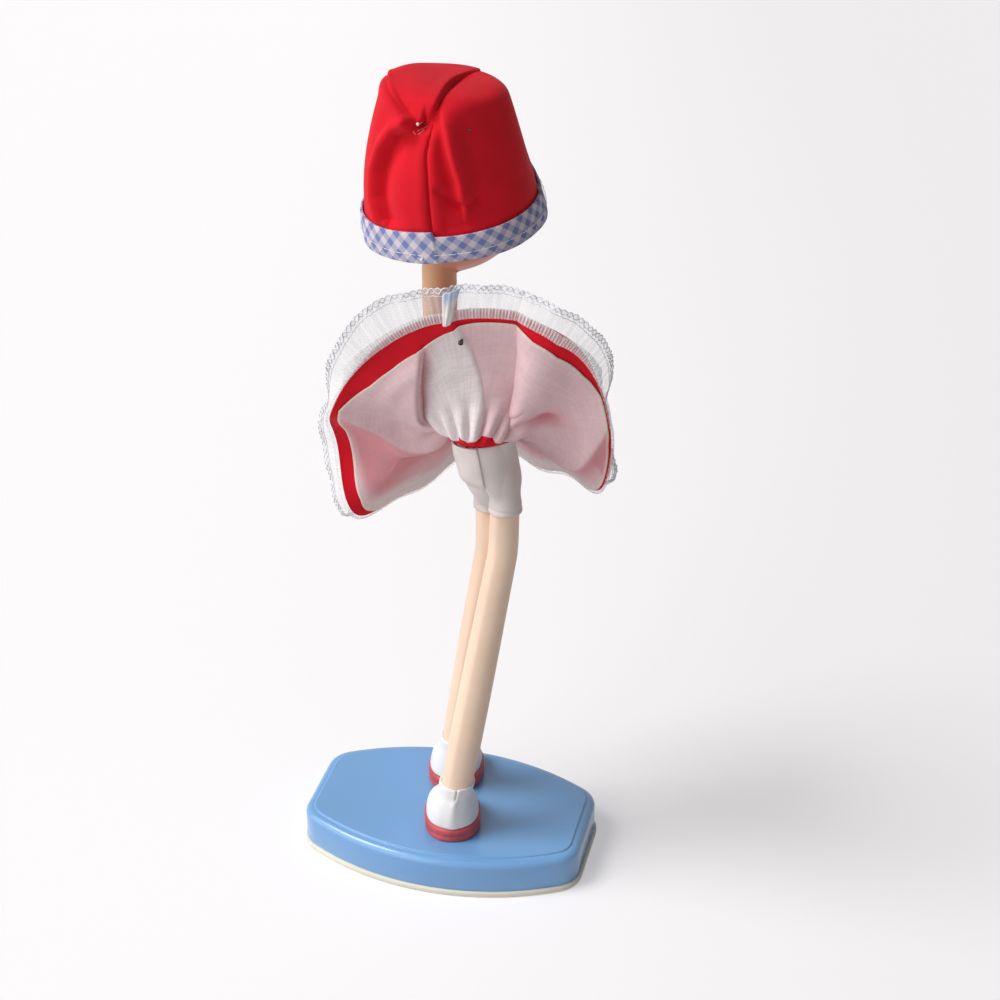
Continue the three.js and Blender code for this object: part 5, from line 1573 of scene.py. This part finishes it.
class DOLL_OT_pins(bpy.types.Operator):
    """Ball-headed pins in the hat and at the back of the skirt"""
    bl_idname = "doll.pins"
    bl_label = "Pins"

    def execute(self, context):
        white = gloss_paint("white_pin", (0.94, 0.93, 0.92), 0.25, 0.01)
        dark = metal_paint("dark_pin", (0.30, 0.27, 0.28), 0.35)
        # Node, body, slot, material, radius of the ball and how far it is sunk, in millimetres
        places = (("hat_tack_pin", "head", "white_pin", white, 0.65, 1.5),
                  ("hat_side_pin", "head", "dark_pin", dark, 0.5, 0.8),
                  ("hat_band_pin", "head", "white_pin", white, 0.6, 0.2),
                  ("skirt_pin", "figure", "dark_pin", dark, 1.0, 0.0))
        for node, body, slot, material, ball, sunk in places:
            low, high = (np.array(corner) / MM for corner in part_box(node))
            out = self.outward(node)
            middle = (low + high) / 2
            reach = (PIN_LENGTH + 2 * PIN_HEAD_R) / 2
            head = middle + out * (reach - 2 * PIN_HEAD_R - sunk)
            piece = add_piece(f"{node}_ball", [pin_patch(head, out, ball)], material, body, closed=True)
            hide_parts(node)
        return {"FINISHED"}

    def outward(self, node):
        """Direction of a pin from its point to its head, from its solid's box and the side it stands on."""
        if node == "skirt_pin":
            return -normals(ruled, np.array(0.014), np.array(0.78))
        low, high = (np.array(corner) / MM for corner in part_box(node))
        flat = (low + high)[:2] / 2 - (HEAD_AT + HAT_RIM)[:2]
        return unit(np.array([*flat, 0.0]))


# Stage

CAMERA_AT = (-0.1880, 0.6455, 0.558)
CAMERA_RIGHT = (-0.9686, -0.2487, 0.0)
CAMERA_UP = (0.1243, -0.4843, 0.8660)
CAMERA_LENS = 70.0
# The floor's glow is painted darker, as shade, between these distances to the right, in metres
FLOOR_SHADE_FADE = (-0.2, 0.4)
FLOOR_UP = -0.0001
# Directions towards the lamps, and how wide the lamps look
KEY_FROM, KEY_SPREAD = (0.85, 0.3, 1.35), math.radians(24)
FILL_FROM, FILL_SPREAD = (0.9, 0.75, 0.5), math.radians(75)


class DOLL_OT_stage(bpy.types.Operator):
    """Pale floor, soft studio light and the camera"""
    bl_idname = "doll.stage"
    bl_label = "Stage"

    def execute(self, context):
        look = context.scene.doll_stage
        scene = context.scene
        scene.view_settings.view_transform = "Standard"
        floor = Paint("pale_floor", Roughness=0.9, Specular_IOR_Level=0.1)
        seen = floor.add("ShaderNodeLightPath", output="Is Camera Ray")
        seen = seen.math("MAXIMUM", seen, floor.add("ShaderNodeLightPath", output="Is Glossy Ray"))
        floor.set(Base_Color=floor.blend(seen, linear(look.bounce), linear(look.floor)))
        side = floor.add("ShaderNodeVectorMath", {"operation": "DOT_PRODUCT"},
                         {0: floor.place(), 1: CAMERA_RIGHT}, output="Value")
        # Painted shade: the floor's glow falls off towards the right
        glow = floor.blend(side.ramp(*FLOOR_SHADE_FADE), linear(look.glow), shade(look.glow, 0.7))
        floor.set(Emission_Strength=1.0, Emission_Color=floor.blend(seen, (0, 0, 0), glow))
        x, y = grid(np.linspace(-4, 4, 9), np.linspace(-5, 3, 9))
        mesh = bpy.data.meshes.new("studio_floor")
        quads = grid_quads(9, 9, False, False)[0]
        corners = np.stack([x, y, np.full_like(x, FLOOR_UP)], -1).reshape(-1, 3)
        mesh.from_pydata(corners.tolist(), [], quads.tolist())
        mesh.materials.append(floor.material)
        ground = bpy.data.objects.new("studio_floor", mesh)
        scene.collection.objects.link(ground)
        self.add_world(scene, look)
        self.add_sun("key_light", KEY_FROM, look.key, KEY_SPREAD)
        self.add_sun("fill_light", FILL_FROM, look.fill, FILL_SPREAD)
        self.add_camera(scene)
        return {"FINISHED"}

    def add_world(self, scene, look):
        """Even dim light all round; the camera and the shiny surfaces see it as near white."""
        world = bpy.data.worlds.new("studio_surround")
        world.use_nodes = True
        tree = world.node_tree
        tree.nodes.clear()
        light = tree.nodes.new("ShaderNodeBackground")
        light.inputs["Strength"].default_value = look.sky
        backdrop = tree.nodes.new("ShaderNodeBackground")
        backdrop.inputs["Color"].default_value = (*linear(look.backdrop), 1)
        pick = tree.nodes.new("ShaderNodeMixShader")
        path = tree.nodes.new("ShaderNodeLightPath")
        seen = tree.nodes.new("ShaderNodeMath")
        seen.operation = "MAXIMUM"
        output = tree.nodes.new("ShaderNodeOutputWorld")
        tree.links.new(path.outputs["Is Camera Ray"], seen.inputs[0])
        tree.links.new(path.outputs["Is Glossy Ray"], seen.inputs[1])
        tree.links.new(seen.outputs[0], pick.inputs[0])
        tree.links.new(light.outputs[0], pick.inputs[1])
        tree.links.new(backdrop.outputs[0], pick.inputs[2])
        tree.links.new(pick.outputs[0], output.inputs["Surface"])
        scene.world = world

    def add_sun(self, name, toward, level, spread):
        """Soft light from a direction; level is how bright it makes white that faces it."""
        lamp = bpy.data.lights.new(name, "SUN")
        lamp.energy = math.pi * level
        lamp.angle = spread
        holder = bpy.data.objects.new(name, lamp)
        holder.rotation_euler = Vector(toward).to_track_quat("Z", "Y").to_euler()
        bpy.context.scene.collection.objects.link(holder)

    def add_camera(self, scene):
        camera = bpy.data.cameras.new("studio_camera")
        camera.lens = CAMERA_LENS
        camera.sensor_width = 36.0
        holder = bpy.data.objects.new("studio_camera", camera)
        right, up = Vector(CAMERA_RIGHT), Vector(CAMERA_UP)
        back = right.cross(up)
        turn = Matrix((right, up, back)).transposed().to_4x4()
        holder.matrix_world = Matrix.Translation(CAMERA_AT) @ turn
        scene.collection.objects.link(holder)
        scene.camera = holder


# Panel and registration

OPERATORS = (DOLL_OT_stand, DOLL_OT_legs, DOLL_OT_shoes, DOLL_OT_body, DOLL_OT_arms, DOLL_OT_bodice,
             DOLL_OT_bloomers, DOLL_OT_skirt, DOLL_OT_lace, DOLL_OT_head, DOLL_OT_hair, DOLL_OT_hat,
             DOLL_OT_pins, DOLL_OT_stage)
SETTINGS = {"doll_stand": DollStandSettings, "doll_figure": DollFigureSettings,
            "doll_dress": DollDressSettings, "doll_hat": DollHatSettings, "doll_stage": DollStageSettings}


class DOLL_PT_pieces(bpy.types.Panel):
    """Lists the doll's settings and the operators that build its pieces"""
    bl_label = "Pose doll"
    bl_space_type = "VIEW_3D"
    bl_region_type = "UI"
    bl_category = "Doll"

    def draw(self, context):
        for name in SETTINGS:
            box = self.layout.box()
            group = getattr(context.scene, name)
            for key in group.__annotations__:
                box.prop(group, key)
        for operator in OPERATORS:
            self.layout.operator(operator.bl_idname)


def register():
    for cls in (*SETTINGS.values(), *OPERATORS, DOLL_PT_pieces):
        bpy.utils.register_class(cls)
    for name, cls in SETTINGS.items():
        setattr(bpy.types.Scene, name, bpy.props.PointerProperty(type=cls))


def unregister():
    for name in SETTINGS:
        delattr(bpy.types.Scene, name)
    for cls in (DOLL_PT_pieces, *reversed(OPERATORS), *reversed(tuple(SETTINGS.values()))):
        bpy.utils.unregister_class(cls)


def main():
    register()
    bpy.ops.doll.stage()
    for operator in OPERATORS[:-1]:
        getattr(bpy.ops.doll, operator.bl_idname.split(".")[1])()


if __name__ == "__main__":
    main()
